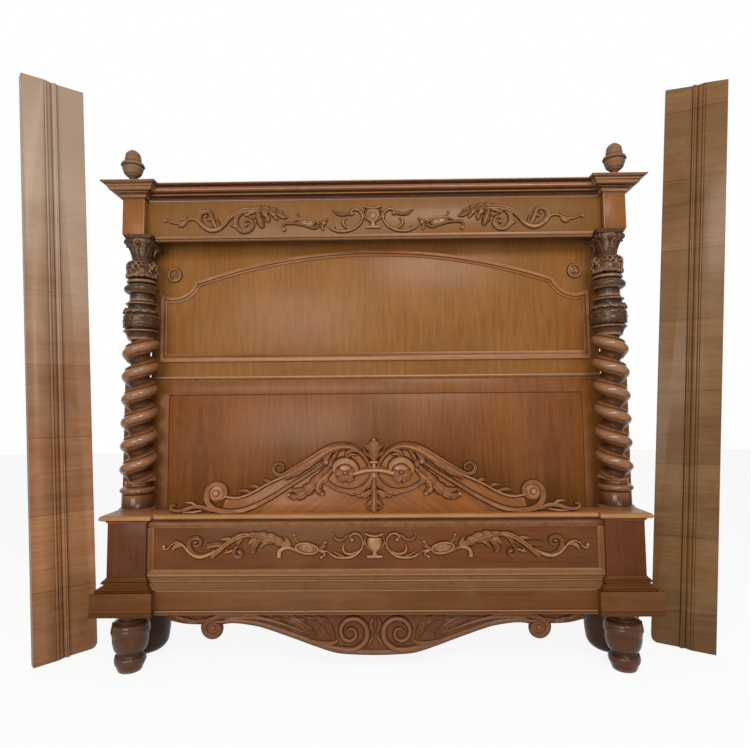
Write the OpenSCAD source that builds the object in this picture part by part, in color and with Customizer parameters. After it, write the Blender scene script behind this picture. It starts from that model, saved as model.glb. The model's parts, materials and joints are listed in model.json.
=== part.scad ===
// Carved four-part bed, knocked down: a headboard with two rope-twist columns, a low
// footboard with a scrolled crest, and two side rails that stand on end at its sides.
// Frame: X across the bed, -Y towards the viewer, +Z up, origin on the floor midway.

/* [Headboard] */
// Half the distance between the two column axes
column_x = 807; // [802:1:812]
// Column axis, measured from the middle of the depth
column_y = 56; // [50:1:60]
// Height of the top of the pedestals, where the columns start
pedestal_top = 448; // [430:2:466]
// Front face of the headboard's panels
panel_y = 128; // [126:1:136]
// Thickness of the headboard's panels
panel_t = 18; // [14:1:24]
// How far the upper panel's edge lies inside the column's axis
upper_inset = 7; // [4:1:28]
// How far the lower panel runs past the column's axis
lower_reach = 86; // [64:1:92]
// Reach of a pedestal from its column towards the middle
ped_in = 81; // [78:1:88]
// Reach of a pedestal from its column outwards
ped_out = 62; // [61:1:66]
// Height of the lower edge of the lower panel
lower_z = 235; // [200:5:300]
// Underside of the ledge between the two panels
ledge_z = 897; // [864:1:924]
// Height of the ledge moulding
ledge_h = 16; // [10:1:24]
// How far the ledge stands proud of the panels
ledge_out = 6; // [3:0.5:6]

/* [Twisted columns] */
// Outer radius of the rope twist
twist_r = 59; // [54:1:60]
// Radius at the bottom of the twist's hollow
twist_core_r = 31; // [26:1:40]
// Rise of the twist in one turn
twist_pitch = 78.5; // [70:0.5:90]
// Height of the twist's lower end above the pedestal
twist_start = 109; // [100:1:120]
// Turns of the twist
twist_turns = 6.1; // [6:0.01:6.3]
// Angle at which the right column's twist starts, in degrees
twist_phase = -91; // [-180:1:180]

/* [Entablature] */
// Underside of the frieze, on top of the capitals
frieze_z = 1397; // [1384:1:1414]
// Height of the frieze
frieze_h = 123; // [110:1:140]
// Front face of the frieze board
frieze_y = 43; // [40:1:48]
// Width of the block over each column
block_w = 75; // [70:1:80]
// How far the blocks stand proud of the frieze
block_out = 31; // [24:1:40]
// Projection of the cornice
cornice_out = 54; // [46:1:60]

/* [Upper panel moulding] */
// Half width of the arched moulding
arch_half_w = 765; // [740:1:770]
// Lower edge of the arched moulding
arch_z = 966; // [944:1:984]
// Top of the arch
arch_top = 1365; // [1354:1:1372]
// Rise of the arch from its shoulders
arch_rise = 109; // [90:1:130]
// Width of the moulding's sides and arch
arch_band = 20; // [14:1:26]
// Height of the moulding's lower member
arch_foot = 29; // [20:1:36]
// Corner rosette, distance from the middle
rosette_x = 720; // [710:1:730]
// Corner rosette, height
rosette_z = 1282; // [1274:1:1290]
// Rosette radius
rosette_r = 27; // [20:1:32]
// Radius of the hollow corner round the rosette
spandrel_r = 82; // [74:1:90]

/* [Finials] */
// Distance of a finial from the middle
finial_x = 830; // [815:1:840]
// Finial axis across the depth
finial_y = 17; // [5:1:25]
// Height of a finial above the cornice
finial_h = 128; // [110:1:140]
// Largest radius of a finial
finial_r = 38; // [34:1:42]
// Radius of the finial's dowel
dowel_r = 8; // [6:0.5:10]
// Length of the dowel in its hole
dowel_len = 30; // [22:1:36]
// Clearance round the dowel
dowel_gap = 0.3; // [0.2:0.05:0.6]

/* [Footboard] */
// Inner face of a footboard post
post_x = 695; // [680:1:700]
// Width of a footboard post
post_w = 117; // [105:1:125]
// Front face of the posts
post_y = -133; // [-136:1:-128]
// Depth of the posts
post_d = 90; // [80:1:95]
// Front face of the footboard panel
foot_panel_y = -113; // [-118:1:-108]
// Underside of the plinth
plinth_z = 182; // [174:1:194]
// Height of the plinth with its bead
plinth_h = 70; // [60:1:80]
// Top of the posts, under the cove
post_top = 451; // [444:1:456]
// Top of the cap slab
slab_top = 475; // [472:1:484]
// Thickness of the cap slab
slab_t = 15; // [12:1:18]
// Projection of the cap slab
slab_out = 20; // [16:1:22]
// Projection of the corner plinths
plinth_out = 34; // [28:1:34]
// Foot axis, distance from the middle
foot_x = 755; // [745:1:765]
// Foot axis across the depth
foot_y = -86; // [-92:1:-85]
// Largest radius of a front foot
foot_r = 57; // [50:1:58]

/* [Crest and apron] */
// Front face of the crest's board
crest_y = -113; // [-118:1:-108]
// Thickness of the crest's board
crest_t = 16; // [12:1:20]
// How far the crest's carving stands proud
crest_relief = 14; // [8:1:16]
// Front face of the apron
apron_y = -128; // [-134:1:-124]
// Thickness of the apron
apron_t = 24; // [18:1:30]

/* [Side rails] */
// Length of a side rail, which is the mattress length
rail_len = 1885; // [1850:5:2000]
// Width of a side rail
rail_w = 185; // [170:1:200]
// Thickness of the rail's proud outer field
rail_t = 34; // [28:1:40]
// Thickness of the rail's inner field
rail_inner_t = 24; // [18:1:27]
// Width of the proud field
rail_field = 65; // [55:1:75]
// Width of the moulding between the fields
rail_moulding = 38; // [30:1:44]
// Sideways place of the bed, which centres the set with its two unlike rails
set_x = -26; // [-40:1:0]
// Sideways lean of the left standing rail, in degrees
left_lean = 2.8; // [0:0.1:4]
// Sideways lean of the right standing rail, in degrees
right_lean = 3.6; // [0:0.1:4]
// Radius of the rounded corner at each rail's lower end
rail_corner_r = 20; // [10:1:26]
// Section of the slat ledge behind each rail
slat_ledge_w = 30; // [24:1:36]

/* [Hardware] */
// Radius of a rail stud
stud_r = 5; // [4:0.5:6]
// Distance between the two studs of a footboard plate
stud_pitch = 64; // [56:1:72]
// Distance between the two studs of a headboard plate, wider so that a rail only fits one way round
head_stud_pitch = 90; // [84:1:96]
// Height of the middle of each pair of studs above the floor
stud_mid_z = 262; // [254:1:274]
// How far a stud stands out of its plate
stud_out = 10; // [8:0.5:11]
// Plate thickness
plate_t = 3; // [2:0.5:4]
// Screw head radius
screw_r = 4.5; // [3.5:0.5:5.5]

/* [Hidden] */
$fn = 64;

walnut = "#8a5f3e";
dark_walnut = "#5f4230";
rail_walnut = "#8c6e58";
steel = "#8d8f92";

// Each column's height stations above the pedestal
base_h = twist_start;
twist_h = twist_turns * twist_pitch;
cup_z = pedestal_top + base_h + twist_h;
cup_h = 136;
cap_z = cup_z + cup_h;
cap_h = frieze_z - cap_z;
abacus_half = 50;
abacus_h = 13;
panel_back = panel_y + panel_t;
frieze_top = frieze_z + frieze_h;
// Cornice members, from the frieze up
bed_h = 20;
band_h = 13;
crown_h = 15;
cornice_top = frieze_top + bed_h + band_h + crown_h;
frieze_t = 18;
frieze_carving_rise = 52;
block_shift = 16;
block_x = column_x + block_shift - block_w / 2;
block_y = frieze_y - block_out;
post_back = post_y + post_d;
post_out_x = post_x + post_w;
plinth_top = plinth_z + plinth_h;
plinth_bead = 1;
centre_out = 30;
centre_x = post_x - plinth_out - plinth_bead;
// Base mouldings over the plinth: the lips, and the whole height up to the panel
lips_h = 36;
base_moulding_h = 54;
edge_moulding_w = 17;
cove_z = post_top - 19;
foot_panel_t = 20;
back_t = 22;
// The rails, in use, run from the middle of the footboard's posts to the pedestals, where
// they lie a little nearer the middle
rail_x = post_x + post_w / 2;
head_rail_x = rail_x - 3;
upper_half_w = column_x - upper_inset;
lower_half_w = column_x + lower_reach;
// Pedestal
ped_z = 184;
ped_y = -8;
ped_cap_h = 21;
die_top = pedestal_top - ped_cap_h;
// Crest
crest_z = slab_top;
ring_x = 76;
ring_z = 134;
ring_r = 69;
ring_in = 55;
flower_z = 120;
// Rails: near lower corner and direction of the width
left_corner = [-1059, -79];
left_yaw = 48;
right_corner = [1083, -1];
right_yaw = 67.7;

// ---------- shapes that repeat ----------

// Mirrors a right-hand piece to the left
module on_side(side) {
  mirror([side < 0 ? 1 : 0, 0, 0]) children();
}

module in_set() {
  translate([set_x, 0, 0]) children();
}

// Points of an arc, in degrees
function arc(cx, cz, r, from, to, n) =
  [for (i = [0:n]) let (a = from + (to - from) * i / n) [cx + r * cos(a), cz + r * sin(a)]];

// A turned piece from its half section
module turned(points) {
  rotate_extrude() polygon(points);
}

// A left-hand outline and its mirror image, as one closed outline
function both_sides(points) =
  concat(points, [for (i = [len(points) - 1:-1:0]) if (points[i][0] != 0) [-points[i][0], points[i][1]]]);

// A box whose front and sides carry a mitred moulding; profile holds [projection, height]
module moulded_box(x0, x1, y0, y1, profile) {
  n = len(profile);
  most = max([for (p = profile) p[0]]);
  zlow = profile[0][1];
  zhigh = profile[n - 1][1];
  intersection() {
    translate([0, y1, 0]) rotate([90, 0, 0]) linear_extrude(y1 - y0 + most + 1)
      polygon(concat(
        [for (i = [0:n - 1]) [x0 - profile[i][0], profile[i][1]]],
        [for (i = [n - 1:-1:0]) [x1 + profile[i][0], profile[i][1]]]));
    translate([x0 - most - 1, 0, 0]) rotate([90, 0, 90]) linear_extrude(x1 - x0 + 2 * most + 2)
      polygon(concat(
        [for (i = [0:n - 1]) [y0 - profile[i][0], profile[i][1]]],
        [[y1, zhigh], [y1, zlow]]));
  }
}

// A straight moulding along X between two ends
module front_moulding(x0, x1, y0, y1, profile) {
  n = len(profile);
  translate([x0, 0, 0]) rotate([90, 0, 90]) linear_extrude(x1 - x0)
    polygon(concat(
      [for (i = [0:n - 1]) [y0 - profile[i][0], profile[i][1]]],
      [[y1, profile[n - 1][1]], [y1, profile[0][1]]]));
}

// A block from two corners
module block(low, high) {
  translate(low) cube(high - low);
}

// Curves of a moulding between two points [projection, height]: hollow, round and S-shaped
function cove(a, b, n = 6) =
  [for (i = [0:n]) let (t = 90 * i / n)
    [a[0] + (b[0] - a[0]) * (1 - cos(t)), a[1] + (b[1] - a[1]) * sin(t)]];
function ovolo(a, b, n = 6) =
  [for (i = [0:n]) let (t = 90 * i / n)
    [a[0] + (b[0] - a[0]) * sin(t), a[1] + (b[1] - a[1]) * (1 - cos(t))]];
function cyma(a, b, n = 8) =
  [for (i = [0:n]) let (t = i / n)
    [a[0] + (b[0] - a[0]) * (t - sin(360 * t) / 9), a[1] + (b[1] - a[1]) * t]];

// A pointed leaf along its own axis, from two arcs
module leaf2d(length, width) {
  r = (length * length / 4 + width * width / 4) / width;
  intersection() {
    translate([0, r - width / 2]) circle(r);
    translate([0, width / 2 - r]) circle(r);
  }
}

// A straight stem between two points
module stem2d(a, b, width) {
  d = b - a;
  translate(a) rotate(atan2(d[1], d[0])) translate([0, -width / 2]) square([norm(d), width]);
}

// ---------- headboard ----------

module headboard_foot() {
  bun_r = 86;
  color(dark_walnut) translate([column_x - 24, column_y + 19, 0]) turned([
    [0, 0], [bun_r - 26, 0], [bun_r - 12, 9], [bun_r - 5, 30], [bun_r - 1, 70], [bun_r, 115],
    [bun_r - 5, 144], [bun_r - 17, 164], [bun_r - 26, 171], [bun_r - 26, ped_z], [0, ped_z]]);
}

module pedestal() {
  color(walnut) difference() {
    block([column_x - ped_in, ped_y, ped_z], [column_x + ped_out, panel_y, die_top]);
    rail_plate_pocket(head_rail_x, ped_y, -1, head_stud_pitch);
  }
}

module pedestal_cap() {
  color(dark_walnut)
    moulded_box(column_x - ped_in, column_x + ped_out, ped_y, panel_y,
      [[1, die_top], [4, die_top + 4], [6, die_top + 10], [6, pedestal_top - 3], [4, pedestal_top]]);
}

module column_base() {
  color(walnut) translate([column_x, column_y, pedestal_top]) turned(concat(
    [[0, 0], [52, 0]],
    arc(50.5, 10.5, 10.5, -80, 80, 8),
    [[51, 22], [51, 64]],
    arc(44.5, 77.5, 12, -80, 80, 8),
    [[44, 91], [40, 96], [39, 102], [42, 105], [42, base_h], [0, base_h]]));
}

// Radius of the twist round its section, which is one fat strand, a bead and a hollow
strand_part = 0.62;
bead_part = 0.18;
bead_out = 9;
function strand(t) =
  t < strand_part ?
    twist_core_r + (twist_r - twist_core_r) * pow(sin(180 * t / strand_part), 0.7) :
  t < strand_part + bead_part ?
    twist_core_r + bead_out * sin(180 * (t - strand_part) / bead_part) : twist_core_r;

// The right-hand shaft; the bead winds under the strand
module column_shaft() {
  steps = 26;
  color(walnut) translate([column_x, column_y, pedestal_top + base_h])
    linear_extrude(twist_h, twist = 360 * twist_turns, slices = 76, $fn = steps)
      polygon([for (i = [0:steps - 1])
        let (t = i / steps, r = strand(1 - t), a = 360 * t + twist_phase) [r * cos(a), r * sin(a)]]);
}

module column_cup() {
  color(dark_walnut) translate([column_x, column_y, cup_z]) turned(concat(
    [[0, 0], [41, 0], [43, 4], [50, 22], [53, 26]],
    arc(51, 30, 4, -60, 60, 4),
    [[49, 36], [53, 38], [54, 43], [54, 45], [57, 52], [59, 60], [59, 68], [56, 78], [54, 86]],
    [[57, 90], [60, 93], [60, 97], [55, 101], [45, 105], [44, 118], [50, 124], [51, 128]],
    [[43, 132], [41, cup_h], [0, cup_h]]));
}

module column_capital() {
  lip = 4;
  half = abacus_half - lip;
  z = frieze_z - abacus_h;
  color(dark_walnut) union() {
    translate([column_x, column_y, cap_z]) turned(concat(
      [[0, 0], [39, 0], [39, 23]],
      arc(34, 50, 26, -80, 80, 12),
      [[38, 77], [38, 82], [49, 84], [57, 89], [59, 97], [57, 108], [51, 122], [42, 138], [38, 146]],
      [[34, 152], [33, 172], [36, 190], [42, 201], [42, cap_h - abacus_h], [0, cap_h - abacus_h]]));
    moulded_box(column_x - half, column_x + half, column_y - half, column_y + half,
      [[0, z], [lip, z + 5], [lip, frieze_z]]);
  }
}

module entablature_block() {
  color(walnut) block([block_x, block_y, frieze_z], [block_x + block_w, panel_y, frieze_top]);
}

module frieze_board() {
  color(walnut) block([-block_x, frieze_y, frieze_z], [block_x, frieze_y + frieze_t, frieze_top]);
}

// Runs under the frieze from one capital to the other
module frieze_lower_moulding() {
  z = frieze_z - 17;
  end = column_x - abacus_half;
  color(dark_walnut) front_moulding(-end, end, frieze_y, frieze_y + 15,
    concat([[-3, z], [-2, z + 1]], ovolo([0, z + 2], [2.5, z + 7]), [[3.5, z + 8], [4, z + 9],
      [5, z + 12], [5, frieze_z]]));
}

module entablature_core() {
  color(walnut) block([-block_x, frieze_y + frieze_t, frieze_z + 24], [block_x, panel_y, frieze_top]);
}

// A cornice member follows the frieze and breaks forward over the blocks
module cornice_member(profile) {
  inset = 5;
  far = block_x + block_w;
  difference() {
    union() {
      moulded_box(inset - far, far - inset, frieze_y, panel_back, profile);
      for (side = [-1, 1]) on_side(side) moulded_box(block_x, far, block_y, panel_back, profile);
    }
    dowel_holes();
  }
}

module cornice_bed() {
  z = frieze_top;
  color(dark_walnut) cornice_member(concat(
    [[2, z], [4, z + 1.5], [4, z + 4]], cove([5, z + 5], [20, z + 16]), [[22, z + 18], [22, z + bed_h]]));
}

module cornice_band() {
  z = frieze_top + bed_h;
  color(dark_walnut) cornice_member(concat([[24, z]], ovolo([25, z + 0.5], [36, z + 10]),
    [[36, z + band_h]]));
}

module cornice_crown() {
  z = frieze_top + bed_h + band_h;
  fillet = 3;
  color(dark_walnut) cornice_member(concat([[cornice_out - 16, z], [cornice_out - 14.5, z + 1.5]],
    cyma([cornice_out - 14, z + 2], [cornice_out - 1.5, cornice_top - fillet - 0.5]),
    [[cornice_out, cornice_top - fillet], [cornice_out, cornice_top]]));
}

// The finials' dowels reach through the crown into the band and the bed moulding
module dowel_holes() {
  for (side = [-1, 1])
    translate([side * finial_x, finial_y, cornice_top - dowel_len - 2])
      cylinder(r = dowel_r + dowel_gap, h = dowel_len + 3);
}

module finial() {
  k = finial_r;
  h = finial_h;
  color(dark_walnut) translate([finial_x, finial_y, cornice_top]) union() {
    translate([0, 0, -dowel_len]) cylinder(r = dowel_r, h = dowel_len + 1);
    turned(concat(
      [[0, 0.3], [16, 0.3], [17, 3], [15, 6], [9, 10], [8, 26], [11, 29]],
      [[k - 18, 36], [k - 9, 48], [k - 3, 60], [k - 1, 66]],
      arc(k - 8, 75, 8, -70, 70, 5),
      [[k - 10, 86]],
      [for (i = [0:10]) let (a = 90 * i / 10) [(k - 11) * cos(a), 88 + (h - 88) * sin(a)]]));
  }
}

module upper_panel() {
  color(walnut) block([-upper_half_w, panel_y, ledge_z + ledge_h], [upper_half_w, panel_back, frieze_top]);
}

// Field of the arched moulding, drawn in by an inset
module arched_field(inset, foot, y0, y1) {
  hw = arch_half_w - inset;
  shoulder = arch_half_w - spandrel_r * 1.5;
  big_r = (shoulder * shoulder + arch_rise * arch_rise) / (2 * arch_rise);
  difference() {
    intersection() {
      block([-hw, y0, arch_z + foot], [hw, y1, arch_top + 1]);
      translate([0, y1, arch_top - big_r]) rotate([90, 0, 0])
        cylinder(r = big_r - inset, h = y1 - y0, $fn = 240);
    }
    for (side = [-1, 1])
      translate([side * rosette_x, y1 + 1, rosette_z]) rotate([90, 0, 0])
        cylinder(r = spandrel_r + inset, h = y1 - y0 + 2);
  }
}

module arched_moulding() {
  out = 9;
  color(dark_walnut) union() {
    difference() {
      arched_field(0, 0, panel_y - out, panel_y);
      arched_field(arch_band * 0.55, arch_foot * 0.55, panel_y - out - 1, panel_y + 1);
    }
    difference() {
      arched_field(arch_band * 0.55, arch_foot * 0.55, panel_y - out / 2, panel_y);
      arched_field(arch_band, arch_foot, panel_y - out - 1, panel_y + 1);
    }
  }
}

module spandrel_rosettes() {
  color(dark_walnut) for (side = [-1, 1])
    translate([side * rosette_x, panel_y, rosette_z]) rotate([90, 0, 0]) turned([
      [0, 0], [rosette_r, 0], [rosette_r, 5], [rosette_r - 3, 9], [rosette_r - 7, 9],
      [rosette_r - 10, 4], [rosette_r - 13, 4], [rosette_r - 16, 9], [5, 14], [0, 15]]);
}

module ledge_moulding() {
  top = ledge_z + ledge_h;
  color(dark_walnut) moulded_box(-lower_half_w, lower_half_w, panel_y, panel_back,
    [[0.5, ledge_z], [2, ledge_z + 3], [ledge_out - 1, ledge_z + 8], [ledge_out, ledge_z + 10],
     [ledge_out, top - 2], [ledge_out - 2, top]]);
}

module lower_panel() {
  groove = 4;
  groove_x = 734;
  groove_top = ledge_z - 48;
  color(walnut) difference() {
    block([-lower_half_w, panel_y, lower_z], [lower_half_w, panel_back, ledge_z]);
    difference() {
      block([-groove_x, panel_y - 1, pedestal_top], [groove_x, panel_y + 2, groove_top]);
      block([-groove_x + groove, panel_y - 2, pedestal_top + groove],
        [groove_x - groove, panel_y + 3, groove_top - groove]);
    }
  }
}

// Frame behind the panels
stile_w = 60;
back_rail_h = 80;
back_inner = upper_half_w - stile_w;

module back_stile() {
  color(dark_walnut)
    block([back_inner, panel_back, lower_z], [upper_half_w, panel_back + back_t, frieze_top]);
}

module back_rails() {
  color(dark_walnut) for (z = [lower_z, ledge_z - back_rail_h / 2, frieze_top - back_rail_h])
    block([-back_inner, panel_back, z], [back_inner, panel_back + back_t, z + back_rail_h]);
}

// ---------- carved bands, shared by the frieze and the footboard ----------

// A carved element: a flat shape cut to a depth, towards the viewer
module cut(depth) {
  rotate([90, 0, 0]) linear_extrude(depth) children();
}

module cut_leaf(at, turn, length, width, depth) {
  cut(depth) translate(at) rotate(turn) leaf2d(length, width);
}

module cut_stem(a, b, width, depth) {
  cut(depth) stem2d(a, b, width);
}

module cut_disc(at, r, depth) {
  cut(depth) translate(at) circle(r);
}

// Left half of the scrolling band in its own plane; z is measured from its middle line
module scroll_half(d) {
  cut_disc([-632, 0], 7, d - 2);
  cut_leaf([-590, 5], 8, 58, 17, d - 1);
  cut_disc([-541, 12], 20, d);
  cut_stem([-626, -2], [-560, -6], 6, d - 3);
  cut_stem([-545, -6], [-500, -30], 7, d - 3);
  cut_stem([-505, -30], [-470, -24], 7, d - 3);
  cut_leaf([-433, 4], 28, 118, 46, d - 1);
  cut_disc([-410, -15], 22, d);
  cut_leaf([-324, 14], 18, 112, 40, d - 1);
  cut_stem([-388, -22], [-290, -20], 8, d - 3);
  cut_disc([-284, -26], 9, d - 2);
  cut_disc([-239, 33], 8, d - 2);
  cut_stem([-285, -2], [-236, 2], 14, d - 3);
  cut_stem([-247, 30], [-226, 12], 5, d - 3);
  cut_leaf([-202, 0], 0, 74, 38, d);
  cut_leaf([-150, 0], 80, 40, 26, d - 1);
  cut_stem([-150, -6], [-104, -30], 8, d - 3);
  cut_stem([-108, -30], [-64, -30], 8, d - 3);
  cut_stem([-66, -31], [-36, -6], 8, d - 3);
  cut_stem([-36, -8], [-40, 26], 8, d - 3);
  cut_disc([-52, 30], 11, d - 1);
  cut_stem([-108, 30], [-52, 26], 8, d - 3);
  cut_leaf([-84, -16], 70, 34, 14, d - 2);
}

module scroll_centre(d) {
  cut_disc([0, 10], 24, d);
  cut(d - 1) translate([-26, 16]) square([52, 18]);
  cut(d - 1) translate([-17, -26]) square([34, 24]);
  cut(d - 2) translate([-28, -36]) square([56, 12]);
}

// The whole band stands on a wall at y
module scroll_band(y, depth, size, z) {
  translate([0, y, z]) scale(size) union() {
    scroll_half(depth);
    mirror([1, 0, 0]) scroll_half(depth);
    scroll_centre(depth);
  }
}

module frieze_carving() {
  color(dark_walnut) scroll_band(frieze_y, 8, 1.08, frieze_z + frieze_carving_rise);
}

module footboard_carving() {
  color(dark_walnut) scroll_band(foot_panel_y, 8, 1, (plinth_top + base_moulding_h + cove_z) / 2);
}

// ---------- footboard ----------

module footboard_post() {
  color(walnut) difference() {
    block([post_x, post_y, plinth_top + lips_h], [post_out_x, post_back, post_top]);
    rail_plate_pocket(rail_x, post_back, 1, stud_pitch);
  }
}

module footboard_foot() {
  k = foot_r;
  color(dark_walnut) translate([foot_x, foot_y, 0]) turned([
    [0, 0], [k - 25, 0], [k - 19, 7], [k - 12, 23], [k - 10, 37], [k - 14, 48], [k - 18, 52],
    [k - 12, 61], [k - 6, 80], [k - 3, 99], [k - 2, 107], [k, 112], [k, 133], [k - 4, 144],
    [k - 14, 152], [k - 25, 157], [k - 26, 170], [k - 15, 174], [k - 14, plinth_z], [0, plinth_z]]);
}

// Two thin lips over the plinth, with a notch between them; z is the plinth's top
function base_lips(z) = concat(
  [[22, z], [24, z + 0.5], [24, z + 2.5]], cyma([22, z + 4], [6, z + 17]),
  [[5, z + 18], [11, z + 21], [12, z + 23], [11.5, z + 24.5]], cyma([10, z + 26], [2, z + lips_h]));

// Plinth and base mouldings round one post
module corner_plinth_form() {
  z = plinth_z;
  bead = plinth_out + plinth_bead;
  moulded_box(post_x, post_out_x, post_y, post_back, concat(
    [[bead - 1, z], [bead, z + 1], [bead, z + 11], [plinth_out, z + 13], [plinth_out, plinth_top]],
    base_lips(plinth_top)));
}

module corner_plinth() {
  color(walnut) difference() {
    corner_plinth_form();
    rail_plate_pocket(rail_x, post_back, 1, stud_pitch);
  }
}

// Room for both corner plinths in the members between them
module between_plinths() {
  difference() {
    children();
    for (side = [-1, 1]) on_side(side) corner_plinth_form();
  }
}

module centre_plinth() {
  z = plinth_z;
  color(walnut) front_moulding(-centre_x, centre_x, foot_panel_y, post_back - 4,
    [[centre_out + 2, z], [centre_out + 2, z + 11], [centre_out, z + 13], [centre_out, plinth_top]]);
}

module base_moulding() {
  z = plinth_top;
  color(dark_walnut) between_plinths()
    front_moulding(-post_x, post_x, foot_panel_y, foot_panel_y + foot_panel_t, concat(
      base_lips(z), [[8, z + lips_h + 1]], cyma([8, z + lips_h + 3], [2, z + base_moulding_h - 2]),
      [[1, z + base_moulding_h]]));
}

module footboard_panel() {
  color(walnut) block([-post_x, foot_panel_y, plinth_top + base_moulding_h],
    [post_x, foot_panel_y + foot_panel_t, post_top]);
}

// Upright mouldings at the panel's ends, between the base moulding and the cove
module panel_edge_mouldings() {
  h = cove_z - plinth_top - base_moulding_h - 2;
  w = edge_moulding_w;
  color(dark_walnut) for (side = [-1, 1]) on_side(side)
    translate([post_x - w, foot_panel_y, plinth_top + base_moulding_h + 2]) linear_extrude(h)
      polygon(concat([[0, 0], [0, -1.5]], [for (p = cyma([2, 2], [8, w - 4])) [p[1], -p[0]]],
        [[w - 2, -8], [w, -8], [w, 0]]));
}

module footboard_back_panel() {
  color(walnut) between_plinths()
    block([-post_x, post_back - 20, plinth_top], [post_x, post_back - 4, post_top]);
}

module cap_cove() {
  z = slab_top - slab_t;
  color(dark_walnut) union() {
    front_moulding(-post_x, post_x, foot_panel_y, foot_panel_y, concat(
      [[1, cove_z]], cyma([2, cove_z + 1], [6, cove_z + 12]), cove([7, cove_z + 14], [slab_out - 6, z])));
    for (side = [-1, 1]) on_side(side)
      moulded_box(post_x, post_out_x, post_y, post_back,
        concat([[2, post_top]], cove([3, post_top + 1], [slab_out - 6, z])));
    block([-post_x, foot_panel_y, post_top], [post_x, post_back, z]);
  }
}

// The slab has a thumb-nail edge: flat below, drawn in on top
module cap_slab() {
  z = slab_top - slab_t;
  profile = concat([[slab_out - 5, z], [slab_out - 2, z + 1.5], [slab_out - 0.5, z + 4]],
    [for (t = [0:15:90]) [slab_out - 9 + 9 * cos(t), z + 6 + (slab_t - 6) * sin(t)]]);
  color(walnut) union() {
    front_moulding(-post_x, post_x, foot_panel_y, post_back + 4, profile);
    for (side = [-1, 1]) on_side(side)
      moulded_box(post_x, post_out_x, post_y, post_back + 4, profile);
  }
}

// Left edge of the crest, from the middle outwards; z is measured from the slab
crest_edge = [[0, 158], [-15, 164], [-31, 179], [-66, 201], [-105, 204], [-145, 201], [-184, 179],
  [-224, 152], [-263, 116], [-302, 105], [-369, 66], [-405, 50], [-458, 47]];

module crest_board() {
  margin = 6;
  color(walnut) translate([0, crest_y + crest_t, crest_z]) rotate([90, 0, 0]) linear_extrude(crest_t)
    polygon(both_sides(concat([for (p = crest_edge) [p[0], p[1] - margin]], [[-470, 0]])));
}

// Long scrolled band of one half, between its upper and lower edges
module crest_half_carving(d) {
  difference() {
    union() {
      cut(d) polygon([[-145, 201], [-184, 179], [-224, 152], [-263, 120], [-302, 105], [-369, 66],
        [-405, 50], [-458, 47], [-487, 62], [-487, 30], [-450, 2], [-413, 2], [-369, 20], [-318, 50],
        [-263, 85], [-204, 124], [-160, 148], [-100, 180], [-66, 201], [-105, 204]]);
      cut_disc([-ring_x, ring_z], ring_r, d);
    }
    translate([-ring_x + 2, 1, ring_z]) rotate([90, 0, 0]) cylinder(r = ring_in, h = d + 2);
  }
  cut_disc([-484, 64], 34, d);
  cut(d - 3) polygon([[-630, 0.2], [-430, 0.2], [-430, 6], [-500, 32], [-600, 12], [-630, 20]]);
  cut_disc([-617, 14], 13, d - 1);
  cut_disc([-292, 132], 18, d - 2);
  cut_stem([-292, 122], [-250, 110], 10, d - 3);
  cut_disc([-ring_x - 10, flower_z], 30, d + 2);
  cut_stem([-60, 128], [1, 134], 14, d - 2);
  cut_leaf([-250, 58], 58, 110, 48, d - 3);
  cut_stem([-240, 70], [-212, 130], 10, d - 4);
  cut_leaf([-172, 68], 56, 104, 44, d - 3);
  cut_stem([-158, 88], [-139, 126], 10, d - 4);
  cut_leaf([-50, 58], -20, 110, 24, d - 4);
}

module crest_carving() {
  d = crest_relief;
  color(dark_walnut) translate([0, crest_y, crest_z]) union() {
    crest_half_carving(d);
    mirror([1, 0, 0]) crest_half_carving(d);
    cut_leaf([0, 52], 90, 100, 44, d + 2);
    cut(d + 2) polygon([[-9, 130], [9, 130], [12, 166], [34, 196], [20, 214], [0, 225], [-20, 214],
      [-34, 196], [-12, 166]]);
  }
}

// Left lower edge of the apron; z is measured from the floor
apron_edge = [[0, 57], [-65, 59], [-100, 62], [-169, 82], [-261, 114], [-332, 136], [-400, 148],
  [-469, 146], [-576, 150], [-624, 160]];

module apron() {
  proud = 6;
  color(dark_walnut) translate([0, apron_y + apron_t, 0]) union() {
    cut(apron_t - proud) polygon(both_sides(concat(apron_edge, [[-624, plinth_z]])));
    for (side = [-1, 1]) {
      cut_disc([side * 491, 131], 28, apron_t);
      cut_disc([side * 64, 129], 46, apron_t);
    }
  }
}

// ---------- side rails ----------

// Puts a standing rail on its near lower corner; its width runs along local X
module standing(side) {
  corner = side < 0 ? left_corner : right_corner;
  yaw = side < 0 ? 90 - left_yaw : 90 + right_yaw;
  lean = side < 0 ? left_lean : right_lean;
  translate([corner[0], corner[1], 0]) rotate([0, 0, yaw]) rotate([0, -lean, 0]) children();
}

// Section of a rail: proud outer field, bead, hollow, bead, inner field; the back is flat
function rail_section(side) =
  let (f = rail_field, low = rail_t - rail_inner_t, far = f + rail_moulding)
  [for (p = concat(
    [[0, 1], [1, 0], [f - 1, 0], [f, 1], [f, 3]],
    arc(f + 4, 3, 4, 180, 360, 6) ,
    [for (t = [15:15:90]) [f + 8 + 14 * sin(t), 3 + 9 * (1 - cos(t))]],
    [for (t = [75:-15:15]) [far - 7 - 9 * sin(t), 5 + 7 * (1 - cos(t))]],
    arc(far - 4, 5, 3, 180, 360, 6),
    [[far, low], [rail_w - 1, low], [rail_w, low + 1], [rail_w, rail_t], [0, rail_t]])) [p[0], side * p[1]]];

module side_rail(side) {
  s = side < 0 ? 1 : -1;
  color(rail_walnut) standing(side) difference() {
    linear_extrude(rail_len) polygon(rail_section(s));
    for (end = [0, 1]) end_plate_place(s, end) end_plate_pocket(end_pitch(end));
    far_corner();
  }
}

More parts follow.
